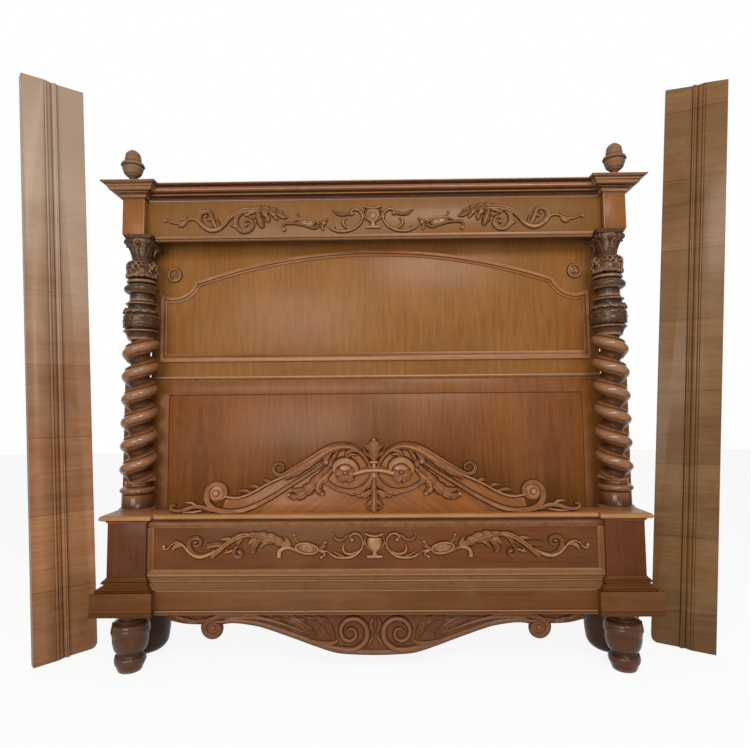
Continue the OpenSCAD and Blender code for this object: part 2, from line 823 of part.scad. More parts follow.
// What is cut away to round the far corner of a rail's lower end
module far_corner() {
  r = rail_corner_r;
  difference() {
    block([rail_w - r, -2 * rail_t, -1], [rail_w + 1, 2 * rail_t, r]);
    translate([rail_w - r, 0, r]) rotate([90, 0, 0]) cylinder(r = r, h = 6 * rail_t, center = true);
  }
}

// Slat ledge along the rail's back, near its lower edge in use
module slat_ledge(side) {
  end_gap = 90;
  edge_gap = 18;
  color(dark_walnut) standing(side)
    translate([edge_gap, side < 0 ? rail_t : -rail_t - slat_ledge_w, end_gap])
      cube([slat_ledge_w, slat_ledge_w, rail_len - 2 * end_gap]);
}

// End plates lie flush in the rails' end grain; each has two holes for the studs
plate_end = 25;
plate_w = 16;

// The rail's lower end as it stands fits the footboard, its upper end the headboard
function end_pitch(end) = end == 0 ? stud_pitch : head_stud_pitch;
function plate_len(pitch) = pitch + 2 * plate_end;

module end_plate_place(s, end) {
  translate([rail_w / 2, s * (rail_t + rail_t - rail_inner_t) / 2, end * rail_len])
    mirror([0, 0, end]) children();
}

module end_plate_pocket(pitch) {
  translate([-plate_len(pitch) / 2, -plate_w / 2, -1]) cube([plate_len(pitch), plate_w, plate_t + 1]);
  for (x = [-0.5, 0.5] * pitch)
    translate([x, 0, -1]) cylinder(r = stud_r + 2, h = plate_t + 14);
}

module rail_end_plates(side) {
  s = side < 0 ? 1 : -1;
  color(steel) standing(side) for (end = [0, 1]) end_plate_place(s, end)
    end_plate(end_pitch(end));
}

module end_plate(pitch) {
  difference() {
    translate([-plate_len(pitch) / 2, -plate_w / 2, 0]) cube([plate_len(pitch), plate_w, plate_t]);
    for (x = [-0.5, 0.5] * pitch)
      translate([x, 0, -1]) cylinder(r = stud_r + 0.5, h = plate_t + 2);
  }
}

// ---------- stud plates on the headboard and footboard ----------

screw_step = 15;
screw_hole_r = 2.2;

// Heights of a plate's two studs and, with a step outward, of its two screws
function pair_heights(pitch, step = 0) = [for (s = [-1, 1]) stud_mid_z + s * (pitch / 2 + step)];

// Shallow pocket for a stud plate in a face at y that looks along dir
module rail_plate_pocket(x, y, dir, pitch) {
  translate([x - plate_w, dir > 0 ? y - plate_t : y - 1, stud_mid_z - plate_len(pitch) / 2])
    cube([2 * plate_w, plate_t + 1, plate_len(pitch)]);
  for (z = pair_heights(pitch, screw_step))
    translate([x, y, z]) rotate([90, 0, 0]) cylinder(r = screw_hole_r, h = 60, center = true);
}

// Plate with two waisted studs, its outer face at y
module stud_plate(x, y, dir, pitch) {
  waist = stud_r - 1.5;
  head_z = stud_out - 6;
  union() {
    difference() {
      translate([x - plate_w, dir > 0 ? y - plate_t : y, stud_mid_z - plate_len(pitch) / 2])
        cube([2 * plate_w, plate_t, plate_len(pitch)]);
      for (z = pair_heights(pitch, screw_step))
        translate([x, y, z]) rotate([90, 0, 0]) cylinder(r = screw_hole_r, h = 4 * plate_t, center = true);
    }
    for (z = pair_heights(pitch))
      translate([x, y, z]) rotate([-90 * dir, 0, 0]) turned([
        [0, -plate_t / 2], [waist, -plate_t / 2], [waist, head_z], [stud_r, head_z],
        [stud_r, stud_out - 0.5], [stud_r - 0.5, stud_out], [0, stud_out]]);
  }
}

module headboard_stud_plates() {
  color(steel) for (side = [-1, 1]) on_side(side) stud_plate(head_rail_x, ped_y, -1, head_stud_pitch);
}

module footboard_stud_plates() {
  color(steel) for (side = [-1, 1]) on_side(side) stud_plate(rail_x, post_back, 1, stud_pitch);
}

// Round-headed screws that hold the four stud plates
module plate_screws() {
  color(steel) for (side = [-1, 1]) on_side(side) {
    for (z = pair_heights(head_stud_pitch, screw_step))
      translate([head_rail_x, ped_y, z]) rotate([-90, 0, 0]) wood_screw();
    for (z = pair_heights(stud_pitch, screw_step))
      translate([rail_x, post_back, z]) rotate([90, 0, 0]) wood_screw();
  }
}

module wood_screw() {
  turned([[0, -1.5], [screw_r - 1.5, -1.2], [screw_r, 0], [2, 0], [2, 22], [0, 26]]);
}

in_set() on_side(-1) headboard_foot();  // headboard_foot_L
in_set() on_side(1) headboard_foot();  // headboard_foot_R
in_set() on_side(-1) pedestal();  // pedestal_L
in_set() on_side(1) pedestal();  // pedestal_R
in_set() on_side(-1) pedestal_cap();  // pedestal_cap_L
in_set() on_side(1) pedestal_cap();  // pedestal_cap_R
in_set() on_side(-1) column_base();  // column_base_L
in_set() on_side(1) column_base();  // column_base_R
in_set() on_side(-1) column_shaft();  // column_shaft_L
in_set() on_side(1) column_shaft();  // column_shaft_R
in_set() on_side(-1) column_cup();  // column_cup_L
in_set() on_side(1) column_cup();  // column_cup_R
in_set() on_side(-1) column_capital();  // column_capital_L
in_set() on_side(1) column_capital();  // column_capital_R
in_set() on_side(-1) entablature_block();  // entablature_block_L
in_set() on_side(1) entablature_block();  // entablature_block_R
in_set() frieze_board();
in_set() frieze_lower_moulding();
in_set() entablature_core();
in_set() frieze_carving();
in_set() cornice_bed();
in_set() cornice_band();
in_set() cornice_crown();
in_set() on_side(-1) finial();  // finial_L
in_set() on_side(1) finial();  // finial_R
in_set() upper_panel();
in_set() arched_moulding();
in_set() spandrel_rosettes();
in_set() ledge_moulding();
in_set() lower_panel();
in_set() on_side(-1) back_stile();  // back_stile_L
in_set() on_side(1) back_stile();  // back_stile_R
in_set() back_rails();
in_set() on_side(-1) footboard_post();  // footboard_post_L
in_set() on_side(1) footboard_post();  // footboard_post_R
in_set() on_side(-1) footboard_foot();  // footboard_foot_L
in_set() on_side(1) footboard_foot();  // footboard_foot_R
in_set() on_side(-1) corner_plinth();  // corner_plinth_L
in_set() on_side(1) corner_plinth();  // corner_plinth_R
in_set() centre_plinth();
in_set() base_moulding();
in_set() footboard_panel();
in_set() panel_edge_mouldings();
in_set() footboard_back_panel();
in_set() cap_cove();
in_set() cap_slab();
in_set() crest_board();
in_set() crest_carving();
in_set() footboard_carving();
in_set() apron();
in_set() side_rail(-1);  // side_rail_L
in_set() side_rail(1);  // side_rail_R
in_set() slat_ledge(-1);  // slat_ledge_L
in_set() slat_ledge(1);  // slat_ledge_R
in_set() rail_end_plates(-1);  // rail_end_plates_L
in_set() rail_end_plates(1);  // rail_end_plates_R
in_set() headboard_stud_plates();
in_set() footboard_stud_plates();
in_set() plate_screws();
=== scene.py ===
"""Carved walnut bed, taken apart: its turning, carving and wood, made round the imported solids.

The file is laid out as an add-on and run as a script. Lengths in the shape lists are in
millimetres, in the frame of the solids; T turns them into metres."""

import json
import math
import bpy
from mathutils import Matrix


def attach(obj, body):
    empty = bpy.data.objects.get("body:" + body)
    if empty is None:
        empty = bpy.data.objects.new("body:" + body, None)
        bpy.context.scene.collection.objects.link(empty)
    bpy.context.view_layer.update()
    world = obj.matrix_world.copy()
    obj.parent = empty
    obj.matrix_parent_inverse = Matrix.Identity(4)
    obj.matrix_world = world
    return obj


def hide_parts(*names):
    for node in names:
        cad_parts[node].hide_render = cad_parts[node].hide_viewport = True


bl_info = {
    "name": "Carved walnut bed",
    "version": (1, 0, 0),
    "blender": (4, 5, 0),
    "location": "View3D > Sidebar > Bed",
    "description": "Turned, carved and polished pieces of a bed with rope-twist columns",
    "category": "Object",
}

from functools import partial

import bmesh
import bpy
from mathutils import Matrix, Vector

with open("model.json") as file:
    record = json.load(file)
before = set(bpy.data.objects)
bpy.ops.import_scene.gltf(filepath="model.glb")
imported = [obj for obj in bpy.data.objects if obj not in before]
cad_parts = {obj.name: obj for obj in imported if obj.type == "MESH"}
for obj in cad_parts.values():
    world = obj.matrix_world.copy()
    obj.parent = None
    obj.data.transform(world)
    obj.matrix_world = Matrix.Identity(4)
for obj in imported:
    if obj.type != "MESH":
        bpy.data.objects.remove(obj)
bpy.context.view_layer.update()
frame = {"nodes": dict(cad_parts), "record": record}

T = 0.001
BODIES = frame["record"]["behaviour"]["bodies"]
BODY_OF = {n: b for b, members in BODIES.items() for n in members}
SIDES = (-1, 1)
SENSOR = 36


# ---------- sizes and colours that a user would change ----------

def amount(name, text, default, unit="NONE"):
    return bpy.props.FloatProperty(name=name, description=text, default=default, unit=unit)


def length(name, text, default):
    return amount(name, text, default, "LENGTH")


def colour(name, text, default):
    return bpy.props.FloatVectorProperty(name=name, description=text, default=default,
                                         subtype="COLOR", size=3, min=0, max=1)


def linear(r, g, b):
    """A colour as seen on a screen, 0 to 255, in the linear values that shaders use."""
    return tuple(((c / 255 + 0.055) / 1.055) ** 2.4 if c > 10 else c / 3295 for c in (r, g, b))


class BedSizes(bpy.types.PropertyGroup):
    """Sizes of the turned and carved pieces"""
    column_x: length("Column", "Distance of a column from the middle", 0.807)
    column_y: length("Column depth", "Column axis across the depth", 0.056)
    pedestal_top: length("Pedestal top", "Height at which the columns start", 0.448)
    twist_pitch: length("Twist pitch", "Rise of the rope twist in one turn", 0.0785)
    twist_r: length("Twist radius", "Outer radius of the rope twist", 0.059)
    twist_core: length("Twist core", "Radius at the bottom of the twist's hollow", 0.031)
    soften: length("Edge rounding", "Rounding of the joiner's edges", 0.0014)


class BedWood(bpy.types.PropertyGroup):
    """Colours of the woods"""
    panel: colour("Panels", "Light wood of the headboard's panels", linear(126, 85, 39))
    panel_dark: colour("Panel figure", "Dark figure of the headboard's panels", linear(88, 55, 23))
    frame_wood: colour("Framing", "Wood of plinths, posts and slab", linear(96, 58, 23))
    frame_dark: colour("Framing figure", "Dark figure of the framing", linear(58, 32, 12))
    moulding: colour("Mouldings", "Reddish wood of the mouldings", linear(110, 66, 30))
    turned: colour("Turned wood", "Wood of the columns", linear(108, 67, 37))
    carving: colour("Carving", "Raised surfaces of the carving", linear(118, 74, 38))
    # dark old polish in the hollows, deepened there as painted shade; also the colour of the
    # painted shade in inner corners, on faces that look down and round the carving, and of the
    # veneer's joints
    hollow: colour("Hollows", "Dark stain in the hollows", linear(38, 22, 12))


class BedStage(bpy.types.PropertyGroup):
    """Camera and light"""
    lens: amount("Lens", "Focal length in mm on a 36 mm sensor", 545 / 751 * SENSOR, "CAMERA")
    key: amount("Key", "Power of the key lamp in watts", 130)
    fill: amount("Fill", "Power of the fill lamp in watts", 95)
    sky: amount("Sky", "Strength of the even light", 0.55)


# Sideways place of the bed, which centres the set with its two unlike rails
SET_X = -0.026


# ---------- shader helpers ----------

class Tree:
    """Makes and joins the nodes of one shader tree."""

    def __init__(self, tree):
        self.tree = tree
        self.x = 0

    def add(self, kind, **settings):
        node = self.tree.nodes.new("ShaderNode" + kind)
        self.x += 180
        node.location = (self.x, 0)
        for name, value in settings.items():
            setattr(node, name, value)
        return node

    def put(self, node, values):
        for name, value in values.items():
            if isinstance(value, bpy.types.NodeSocket):
                self.tree.links.new(value, node.inputs[name])
            else:
                socket = node.inputs[name]
                if socket.type == "RGBA" and len(value) == 3:
                    value = (*value, 1)
                socket.default_value = value
        return node

    def math(self, operation, a, b=0.0, c=0.0, clamp=False):
        node = self.add("Math", operation=operation, use_clamp=clamp)
        self.put(node, {0: a, 1: b, 2: c})
        return node.outputs[0]

    def mix(self, share, a, b, blend="MIX"):
        node = self.add("Mix", data_type="RGBA", blend_type=blend)
        self.put(node, {0: share, 6: a, 7: b})
        return node.outputs[2]

    def ramp(self, value, *stops):
        """Fades between numbers: each stop is (place, value)."""
        node = self.add("ValToRGB")
        ramp = node.color_ramp
        while len(ramp.elements) < len(stops):
            ramp.elements.new(0.5)
        for element, (place, level) in zip(ramp.elements, stops):
            element.position = place
            element.color = (level, level, level, 1)
        self.put(node, {0: value})
        return node.outputs[0]

    def mapped(self, vector, scale=(1, 1, 1), turn=(0, 0, 0), move=(0, 0, 0)):
        node = self.add("Mapping")
        self.put(node, {"Vector": vector, "Scale": scale, "Rotation": turn, "Location": move})
        return node.outputs[0]

    def noise(self, vector, scale, detail=2.0, rough=0.5, distortion=0.0):
        node = self.add("TexNoise")
        self.put(node, {"Vector": vector, "Scale": scale, "Detail": detail, "Roughness": rough,
                        "Distortion": distortion})
        return node.outputs[0]

    def split(self, vector):
        """The X, Y and Z of a vector."""
        return self.put(self.add("SeparateXYZ"), {0: vector}).outputs

    def joined(self, x, y, z):
        return self.put(self.add("CombineXYZ"), {0: x, 1: y, 2: z}).outputs[0]

    def attribute(self, name):
        return self.add("Attribute", attribute_name=name).outputs["Fac"]

    def seen(self):
        """1 for the camera's rays and for those seen in a gloss or through glass, 0 for light."""
        path = self.add("LightPath").outputs
        direct = self.math("MAXIMUM", path["Is Camera Ray"], path["Is Glossy Ray"])
        return self.math("MAXIMUM", direct, path["Is Transmission Ray"])


def cleared(data):
    """The emptied shader tree of a material or world."""
    data.use_nodes = True
    data.node_tree.nodes.clear()
    return Tree(data.node_tree)


KINDS = {"V": "NodeSocketVector", "C": "NodeSocketColor", "F": "NodeSocketFloat"}


def shader_group(name, inputs, outputs):
    """An empty node group with its sockets. Returns the group, its tree, input and output nodes."""
    group = bpy.data.node_groups.new(name, "ShaderNodeTree")
    for socket, kind in inputs:
        group.interface.new_socket(name=socket, in_out="INPUT", socket_type=KINDS[kind])
    for socket, kind in outputs:
        group.interface.new_socket(name=socket, in_out="OUTPUT", socket_type=KINDS[kind])
    start = group.nodes.new("NodeGroupInput")
    end = group.nodes.new("NodeGroupOutput")
    return group, Tree(group), start.outputs, end


def walnut_figure():
    """Long grain along Z: broad tones, wavering bands, streaks and pores."""
    group, t, given, end = shader_group(
        "Walnut figure", [("Vector", "V"), ("Light", "C"), ("Dark", "C"), ("Figure", "F")],
        [("Colour", "C"), ("Height", "F"), ("Gloss", "F")])
    v = given["Vector"]
    broad = t.noise(t.mapped(v, (1, 1, 0.22)), 4.5, 3, 0.55, 0.6)
    warp = t.noise(t.mapped(v, (1, 1, 0.12)), 9, 3, 0.6, 1.2)
    rings = t.math("SINE", t.math("MULTIPLY", warp, 46.0))
    streak = t.noise(t.mapped(v, (1, 1, 0.035)), 85, 5, 0.62)
    fine = t.noise(t.mapped(v, (1, 1, 0.03)), 420, 3, 0.6)
    pores = t.ramp(t.noise(t.mapped(v, (1, 1, 0.045)), 900, 1, 0.5), (0.3, 1.0), (0.4, 0.0))
    level = t.math("MULTIPLY_ADD", broad, 0.62, t.math("MULTIPLY", rings, 0.05))
    level = t.math("ADD", level, t.math("MULTIPLY", streak, 0.36))
    level = t.math("ADD", level, t.math("MULTIPLY", fine, 0.12))
    spread = t.math("MULTIPLY_ADD", t.math("SUBTRACT", level, 0.55), given["Figure"], 0.5)
    tone = t.math("MAXIMUM", t.math("MINIMUM", t.math("MULTIPLY_ADD", spread, 2.1, -0.5), 1.0), 0.0)
    wood = t.mix(tone, given["Dark"], given["Light"])
    darker = t.mix(t.math("MULTIPLY", pores, 0.3), wood, (0.03, 0.015, 0.01), "MIX")
    hue = t.noise(v, 1.7, 2, 0.5)
    warm = t.mix(t.math("MULTIPLY", hue, 0.1), darker, (0.42, 0.12, 0.03), "SOFT_LIGHT")
    height = t.math("SUBTRACT", t.math("MULTIPLY", fine, 0.5), pores)
    t.put(end, {"Colour": warm, "Height": height, "Gloss": streak})
    return group


def polish_wear():
    """Uneven polish: dull patches, fine scuffs and a little dust."""
    group, t, given, end = shader_group(
        "Polish", [("Vector", "V"), ("Base", "F"), ("Spread", "F")],
        [("Roughness", "F"), ("Bloom", "F"), ("Dents", "F")])
    v = given["Vector"]
    patch = t.noise(v, 6.5, 4, 0.6, 0.4)
    scuff = t.noise(t.mapped(v, (1, 1, 0.25)), 95, 4, 0.7)
    both = t.math("MULTIPLY_ADD", scuff, 0.5, patch)
    rough = t.math("MULTIPLY_ADD", t.math("SUBTRACT", both, 0.75), given["Spread"], given["Base"])
    dents = t.noise(v, 38, 3, 0.55)
    bloom = t.ramp(patch, (0.45, 0.0), (0.75, 1.0))
    t.put(end, {"Roughness": rough, "Bloom": bloom, "Dents": dents})
    return group


def hollow_stain_and_shade():
    """Dark old polish low in the relief, deepened there as painted shade, and crests lighter from
    rubbing and a painted highlight.
    """
    group, t, given, end = shader_group(
        "Hollow stain and shade", [("Vector", "V"), ("Colour", "C"), ("Stain and shade", "C"), ("Relief", "F"),
                         ("Amount", "F"), ("Rub and highlight", "F")],
        [("Colour", "C"), ("Crest", "F")])
    wander = t.math("MULTIPLY_ADD", t.noise(given["Vector"], 55, 4, 0.6), 0.5, -0.25)
    relief = t.math("ADD", given["Relief"], wander)
    # painted shade, partly old polish: the low relief is darkened
    low = t.ramp(relief, (0.1, 1.0), (0.62, 0.0))
    crest = t.ramp(relief, (0.7, 0.0), (1.0, 1.0))
    stained_and_shaded = t.mix(t.math("MULTIPLY", low, given["Amount"]), given["Colour"], given["Stain and shade"])
    # painted highlight, partly rubbing: the crests are lightened
    rubbed_and_highlit = t.mix(t.math("MULTIPLY", crest, given["Rub and highlight"]), stained_and_shaded, (0.62, 0.40, 0.24), "SCREEN")
    t.put(end, {"Colour": rubbed_and_highlit, "Crest": crest})
    return group


def cross_band():
    """Strips of veneer laid across a rail: each has its own tone and a fine joint."""
    group, t, given, end = shader_group(
        "Cross-banded veneer", [("Vector", "V"), ("Strip", "F"), ("Seed", "F")],
        [("Vector", "V"), ("Tone", "F"), ("Joint", "F")])
    x, _, height = t.split(given["Vector"])
    z = t.math("DIVIDE", height, given["Strip"])
    z = t.math("ADD", z, t.math("MULTIPLY", t.noise(given["Vector"], 2.0, 1), 0.12))
    index = t.math("FLOOR", z)
    part = t.math("FRACT", z)
    white = t.add("TexWhiteNoise", noise_dimensions="1D")
    t.put(white, {"W": t.math("ADD", index, given["Seed"])})
    joint = t.math("MAXIMUM", t.ramp(part, (0.0, 1.0), (0.012, 0.0)),
                   t.ramp(part, (0.988, 0.0), (1.0, 1.0)))
    tone = white.outputs["Value"]
    along = t.joined(height, t.math("MULTIPLY", tone, 9.0), x)
    t.put(end, {"Vector": along, "Tone": tone, "Joint": joint})
    return group


GROUPS = {}
CHEVRON_TURN = 52  # degrees of the crest's veneer off the upright
# pale colour of the painted sheen on the left rail's upper part
SHEEN_COLOUR = (0.27, 0.222, 0.178)
DUST = (0.45, 0.34, 0.24)
# lighter colour of eased edges: partly wear, partly painted highlight
EDGE_WEAR_AND_HIGHLIGHT = (0.42, 0.26, 0.14)


def use(t, name, values):
    """Places a shared group in a material and returns its outputs."""
    node = t.add("Group")
    node.node_tree = GROUPS[name]
    t.put(node, values)
    return node.outputs


def wood(name, light, dark, grain=(0, 0, 0), move=(0, 0, 0), figure=1.0, rough=0.42, spread=0.3,
         coat=0.08, coat_rough=0.2, relief=None, stain_and_shade=0.85, rub_and_highlight=0.25, bump=0.05, strip=0.0,
         chevron=False, leaves=0.0, bloom=0.03, painted_sheen=0.0, shine=0.1):
    """A wood finish. grain turns the grain off Z; relief is "attribute" or "pointiness";
    leaves is the width of book-matched veneer leaves."""
    mat = bpy.data.materials.new(name)
    t = cleared(mat)
    settings = bpy.context.scene.bed_wood
    place = t.mapped(t.add("TexCoord").outputs["Object"], move=(-SET_X, 0, 0))
    vector = t.mapped(place, (1, 1, 1), grain, move)
    if chevron:
        x, y, z = t.split(place)
        side = t.joined(t.math("ABSOLUTE", x), y, z)
        vector = t.mapped(side, turn=(0, math.radians(CHEVRON_TURN), 0), move=move)
    if leaves:
        x, y, z = t.split(vector)
        vector = t.joined(t.math("PINGPONG", x, leaves), y, z)
    if strip:
        veneer = use(t, "Cross-banded veneer", {"Vector": vector, "Strip": strip,
                                                "Seed": 3.0 + 10 * move[0]})
        vector = veneer["Vector"]
    figured = use(t, "Walnut figure", {"Vector": vector, "Light": light, "Dark": dark,
                                       "Figure": figure})
    base = figured["Colour"]
    if strip:
        base = t.mix(t.math("MULTIPLY", veneer["Tone"], 0.45), base, dark)
        base = t.mix(t.math("MULTIPLY", veneer["Joint"], 0.55), base, settings.hollow)
    polish = use(t, "Polish", {"Vector": place, "Base": rough, "Spread": spread})
    # hollows darkened and crests lightened: old polish and rubbing, with painted shade in the
    # hollows and a painted highlight on the crests
    if relief:
        if relief == "attribute":
            level = t.attribute("relief")
        else:
            level = t.ramp(t.add("NewGeometry").outputs["Pointiness"], (0.43, 0.0), (0.56, 1.0))
        stained_and_shaded = use(t, "Hollow stain and shade", {
            "Vector": place, "Colour": base, "Stain and shade": settings.hollow, "Relief": level,
            "Amount": stain_and_shade, "Rub and highlight": rub_and_highlight})
        base = stained_and_shaded["Colour"]
    base = t.mix(t.math("MULTIPLY", polish["Bloom"], bloom), base, DUST)
    # painted shade: the marked inner corners and downward faces are darkened
    base = t.mix(t.math("MULTIPLY", t.attribute("line"), 0.9), base, settings.hollow)
    # painted highlight, partly wear: the marked eased edges are lightened
    base = t.mix(t.math("MULTIPLY", t.attribute("wear_and_highlight"), 0.4), base, EDGE_WEAR_AND_HIGHLIGHT, "SCREEN")
    # painted sheen: the upper part, found by height with some noise, is paled towards the sheen
    # colour
    if painted_sheen:
        height = t.math("MULTIPLY_ADD", t.noise(place, 3.2, 3, 0.6), 0.9, t.split(place)[2])
        upper = t.ramp(t.math("MULTIPLY", height, 0.4), (0.52, 0.0), (0.78, 1.0))
        base = t.mix(t.math("MULTIPLY", upper, painted_sheen), base, SHEEN_COLOUR)
    gloss = t.math("MULTIPLY", level, coat) if relief else coat
    grain_height = t.math("MULTIPLY", figured["Height"], 0.35)
    height = t.math("MULTIPLY_ADD", polish["Dents"], 0.6, grain_height)
    dimple = t.add("Bump")
    t.put(dimple, {"Height": height, "Strength": bump, "Distance": 0.004})
    shader = t.add("BsdfPrincipled")
    t.put(shader, {"Base Color": base, "Roughness": polish["Roughness"],
                   "Normal": dimple.outputs[0], "Coat Weight": gloss, "Coat Roughness": coat_rough,
                   "Specular IOR Level": shine})
    t.put(t.add("OutputMaterial"), {"Surface": shader.outputs[0]})
    return mat


def metal(name, tint, rough):
    mat = bpy.data.materials.new(name)
    t = cleared(mat)
    place = t.add("TexCoord").outputs["Object"]
    spots = t.ramp(t.noise(place, 160, 5, 0.65), (0.5, 0.0), (0.68, 1.0))
    base = t.mix(spots, tint, (0.11, 0.075, 0.05))
    shader = t.add("BsdfPrincipled")
    dimple = t.add("Bump")
    t.put(dimple, {"Height": t.noise(place, 300, 3), "Strength": 0.12, "Distance": 0.001})
    t.put(shader, {"Base Color": base, "Metallic": 1.0, "Normal": dimple.outputs[0],
                   "Roughness": t.math("MULTIPLY_ADD", spots, 0.35, rough)})
    t.put(t.add("OutputMaterial"), {"Surface": shader.outputs[0]})
    return mat


FINISH = {}


class BED_OT_finishes(bpy.types.Operator):
    """Make the shader groups and every wood and metal finish"""
    bl_idname = "bed.finishes"
    bl_label = "Finishes"

    def execute(self, context):
        for make in (walnut_figure, polish_wear, hollow_stain_and_shade, cross_band):
            group = make()
            GROUPS[group.name] = group
        w = context.scene.bed_wood
        across = (0, math.pi / 2, 0)
        FINISH.update({
            "panel": wood("Panel walnut", w.panel, w.panel_dark, figure=0.85, leaves=0.27),
            "lower_panel": wood("Lower panel walnut", linear(116, 71, 29), linear(76, 43, 17),
                move=(0, 0, 1), figure=0.95, leaves=0.31),
            "frieze": wood("Frieze walnut", linear(112, 78, 40), linear(84, 54, 25),
                move=(5, 0, 3), figure=0.6, leaves=0.4),
            "block": wood("Block walnut", linear(118, 74, 36), w.panel_dark, move=(8, 1, 0),
                figure=0.8),
            "pedestal": wood("Pedestal walnut", w.frame_wood, w.frame_dark, move=(4, 2, 0)),
            "framing": wood("Framing walnut", w.frame_wood, w.frame_dark, grain=across,
                move=(0, 1, 2), figure=0.8),
            "post": wood("Post walnut", linear(84, 42, 14), linear(54, 26, 9), move=(1, 4, 0),
                rough=0.5),
            "foot_panel": wood("Footboard panel walnut", linear(94, 53, 21), linear(62, 33, 12),
                grain=across, move=(3, 0, 0)),
            "moulding": wood("Moulding walnut", w.moulding, w.frame_dark, grain=across, figure=0.6,
                rough=0.36, coat=0.14, relief="pointiness", stain_and_shade=0.9, rub_and_highlight=0.12),
            "upright": wood("Upright moulding walnut", w.moulding, w.frame_dark, figure=0.6,
                rough=0.36, coat=0.14),
            "arch": wood("Panel moulding walnut", linear(134, 84, 42), w.panel_dark, grain=across,
                figure=0.6, rough=0.36, coat=0.14, relief="pointiness", stain_and_shade=0.5, rub_and_highlight=0.1),
            "cornice": wood("Cornice walnut", linear(118, 70, 38), linear(76, 42, 20),
                grain=across, move=(0, 3, 1), figure=0.7, rough=0.34, coat=0.25,
                relief="pointiness", stain_and_shade=0.9, rub_and_highlight=0.16),
            "bun": wood("Shaded turned walnut", linear(60, 35, 19), linear(38, 22, 12), figure=0.7,
                rough=0.4),
            "turned": wood("Turned walnut", w.turned, linear(74, 44, 25), figure=0.8, rough=0.3,
                spread=0.2, coat=0.6, coat_rough=0.1, relief="attribute", stain_and_shade=0.8, rub_and_highlight=0.1),
            "capital": wood("Carved capital walnut", linear(72, 47, 28), linear(44, 27, 16),
                figure=0.7, rough=0.32, coat=0.3, coat_rough=0.15, relief="attribute", stain_and_shade=1.0,
                rub_and_highlight=0.2),
            "carving": wood("Carving walnut", w.carving, w.frame_dark, grain=across, figure=0.5,
                rough=0.36, coat=0.2, relief="attribute", stain_and_shade=1.0, rub_and_highlight=0.2),
            "frieze_carving": wood("Frieze carving walnut", linear(116, 78, 42),
                linear(80, 50, 25), grain=across, figure=0.5, rough=0.36, coat=0.2,
                relief="attribute", stain_and_shade=1.0, rub_and_highlight=0.12),
            "foot": wood("Foot walnut", linear(78, 46, 24), linear(46, 25, 13), figure=0.7,
                rough=0.28, coat=0.35, coat_rough=0.14, relief="attribute", stain_and_shade=0.95, rub_and_highlight=0.1),
            "crest": wood("Crest carving walnut", linear(122, 78, 45), linear(80, 48, 27),
                grain=across, figure=0.6, rough=0.34, coat=0.2, relief="attribute", stain_and_shade=1.0,
                rub_and_highlight=0.16),
            "apron": wood("Apron walnut", linear(98, 57, 28), linear(62, 34, 16), grain=across,
                figure=0.8, coat=0.2, relief="attribute", stain_and_shade=0.9, rub_and_highlight=0.06),
            "slab": wood("Slab walnut", linear(150, 108, 68), linear(106, 71, 42), grain=across,
                move=(0, 1, 5), figure=0.8, rough=0.4),
            "veneer": wood("Crest veneer", linear(114, 69, 29), linear(72, 40, 16), chevron=True,
                figure=1.4, rough=0.4),
            # the left rail's pale upper part is a painted sheen
            "rail_left": wood("Left rail veneer", linear(136, 96, 64), linear(92, 58, 35),
                spread=0.35, strip=0.24, bloom=0.12, painted_sheen=0.62),
            "rail_right": wood("Right rail veneer", linear(112, 82, 48), linear(76, 52, 28),
                rough=0.46, coat=0.12, strip=0.24, move=(0.7, 0, 0.1), bloom=0.08),
            "acorn": wood("Acorn wood", linear(120, 92, 68), linear(82, 60, 42), figure=0.5,
                rough=0.55, coat=0.0, relief="attribute", stain_and_shade=0.6, rub_and_highlight=0.1),
            "plain": wood("Back boards", linear(142, 108, 78), linear(100, 72, 50), rough=0.65,
                coat=0.0, bump=0.1),
            "plain_across": wood("Back rails", linear(142, 108, 78), linear(100, 72, 50),
                grain=across, rough=0.65, coat=0.0, bump=0.1),
            "steel": metal("Old steel", (0.42, 0.41, 0.39), 0.32),
            "screw": metal("Screw steel", (0.34, 0.33, 0.31), 0.4),
        })
        return {"FINISHED"}


# ---------- mesh helpers ----------

def finish_piece(bm, name, material, body="bed", replaces=(), smooth=40, slot=None, made=True):
    """Turns a bmesh into a piece of the bed, with its finish, body and the solids it stands for.
    A piece made here, rather than from a solid, is also moved to its place in the set."""
    open_edges = [e for e in bm.edges if e.is_boundary]
    if open_edges:
        bmesh.ops.holes_fill(bm, edges=open_edges, sides=0)
    if made:
        bmesh.ops.recalc_face_normals(bm, faces=bm.faces)
        bmesh.ops.translate(bm, vec=(SET_X, 0, 0), verts=bm.verts)
    mesh = bpy.data.meshes.new(name)
    bm.to_mesh(mesh)
    bm.free()
    mesh.polygons.foreach_set("use_smooth", [True] * len(mesh.polygons))
    mesh.set_sharp_from_angle(angle=math.radians(smooth))
    mesh.materials.append(FINISH[material])
    piece = bpy.data.objects.new(name, mesh)
    bpy.context.scene.collection.objects.link(piece)
    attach(piece, body)
    if replaces:
        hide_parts(*replaces)
    return piece


def finish_side(bm, side, name, material, node, **options):
    """Finishes a piece made for the right side, or its mirror image for the left side."""
    hand = "R" if side > 0 else "L"
    if side < 0:
        flip(bm)
    return finish_piece(bm, f"{name}_{hand}", material, replaces=(f"{node}_{hand}",), **options)


def relief_layer(bm):
    """The height of the carving, 0 in the hollows and 1 on the crests, which the stain, the painted
    shade and the painted highlight follow.
    """
    return bm.verts.layers.float.get("relief") or bm.verts.layers.float.new("relief")


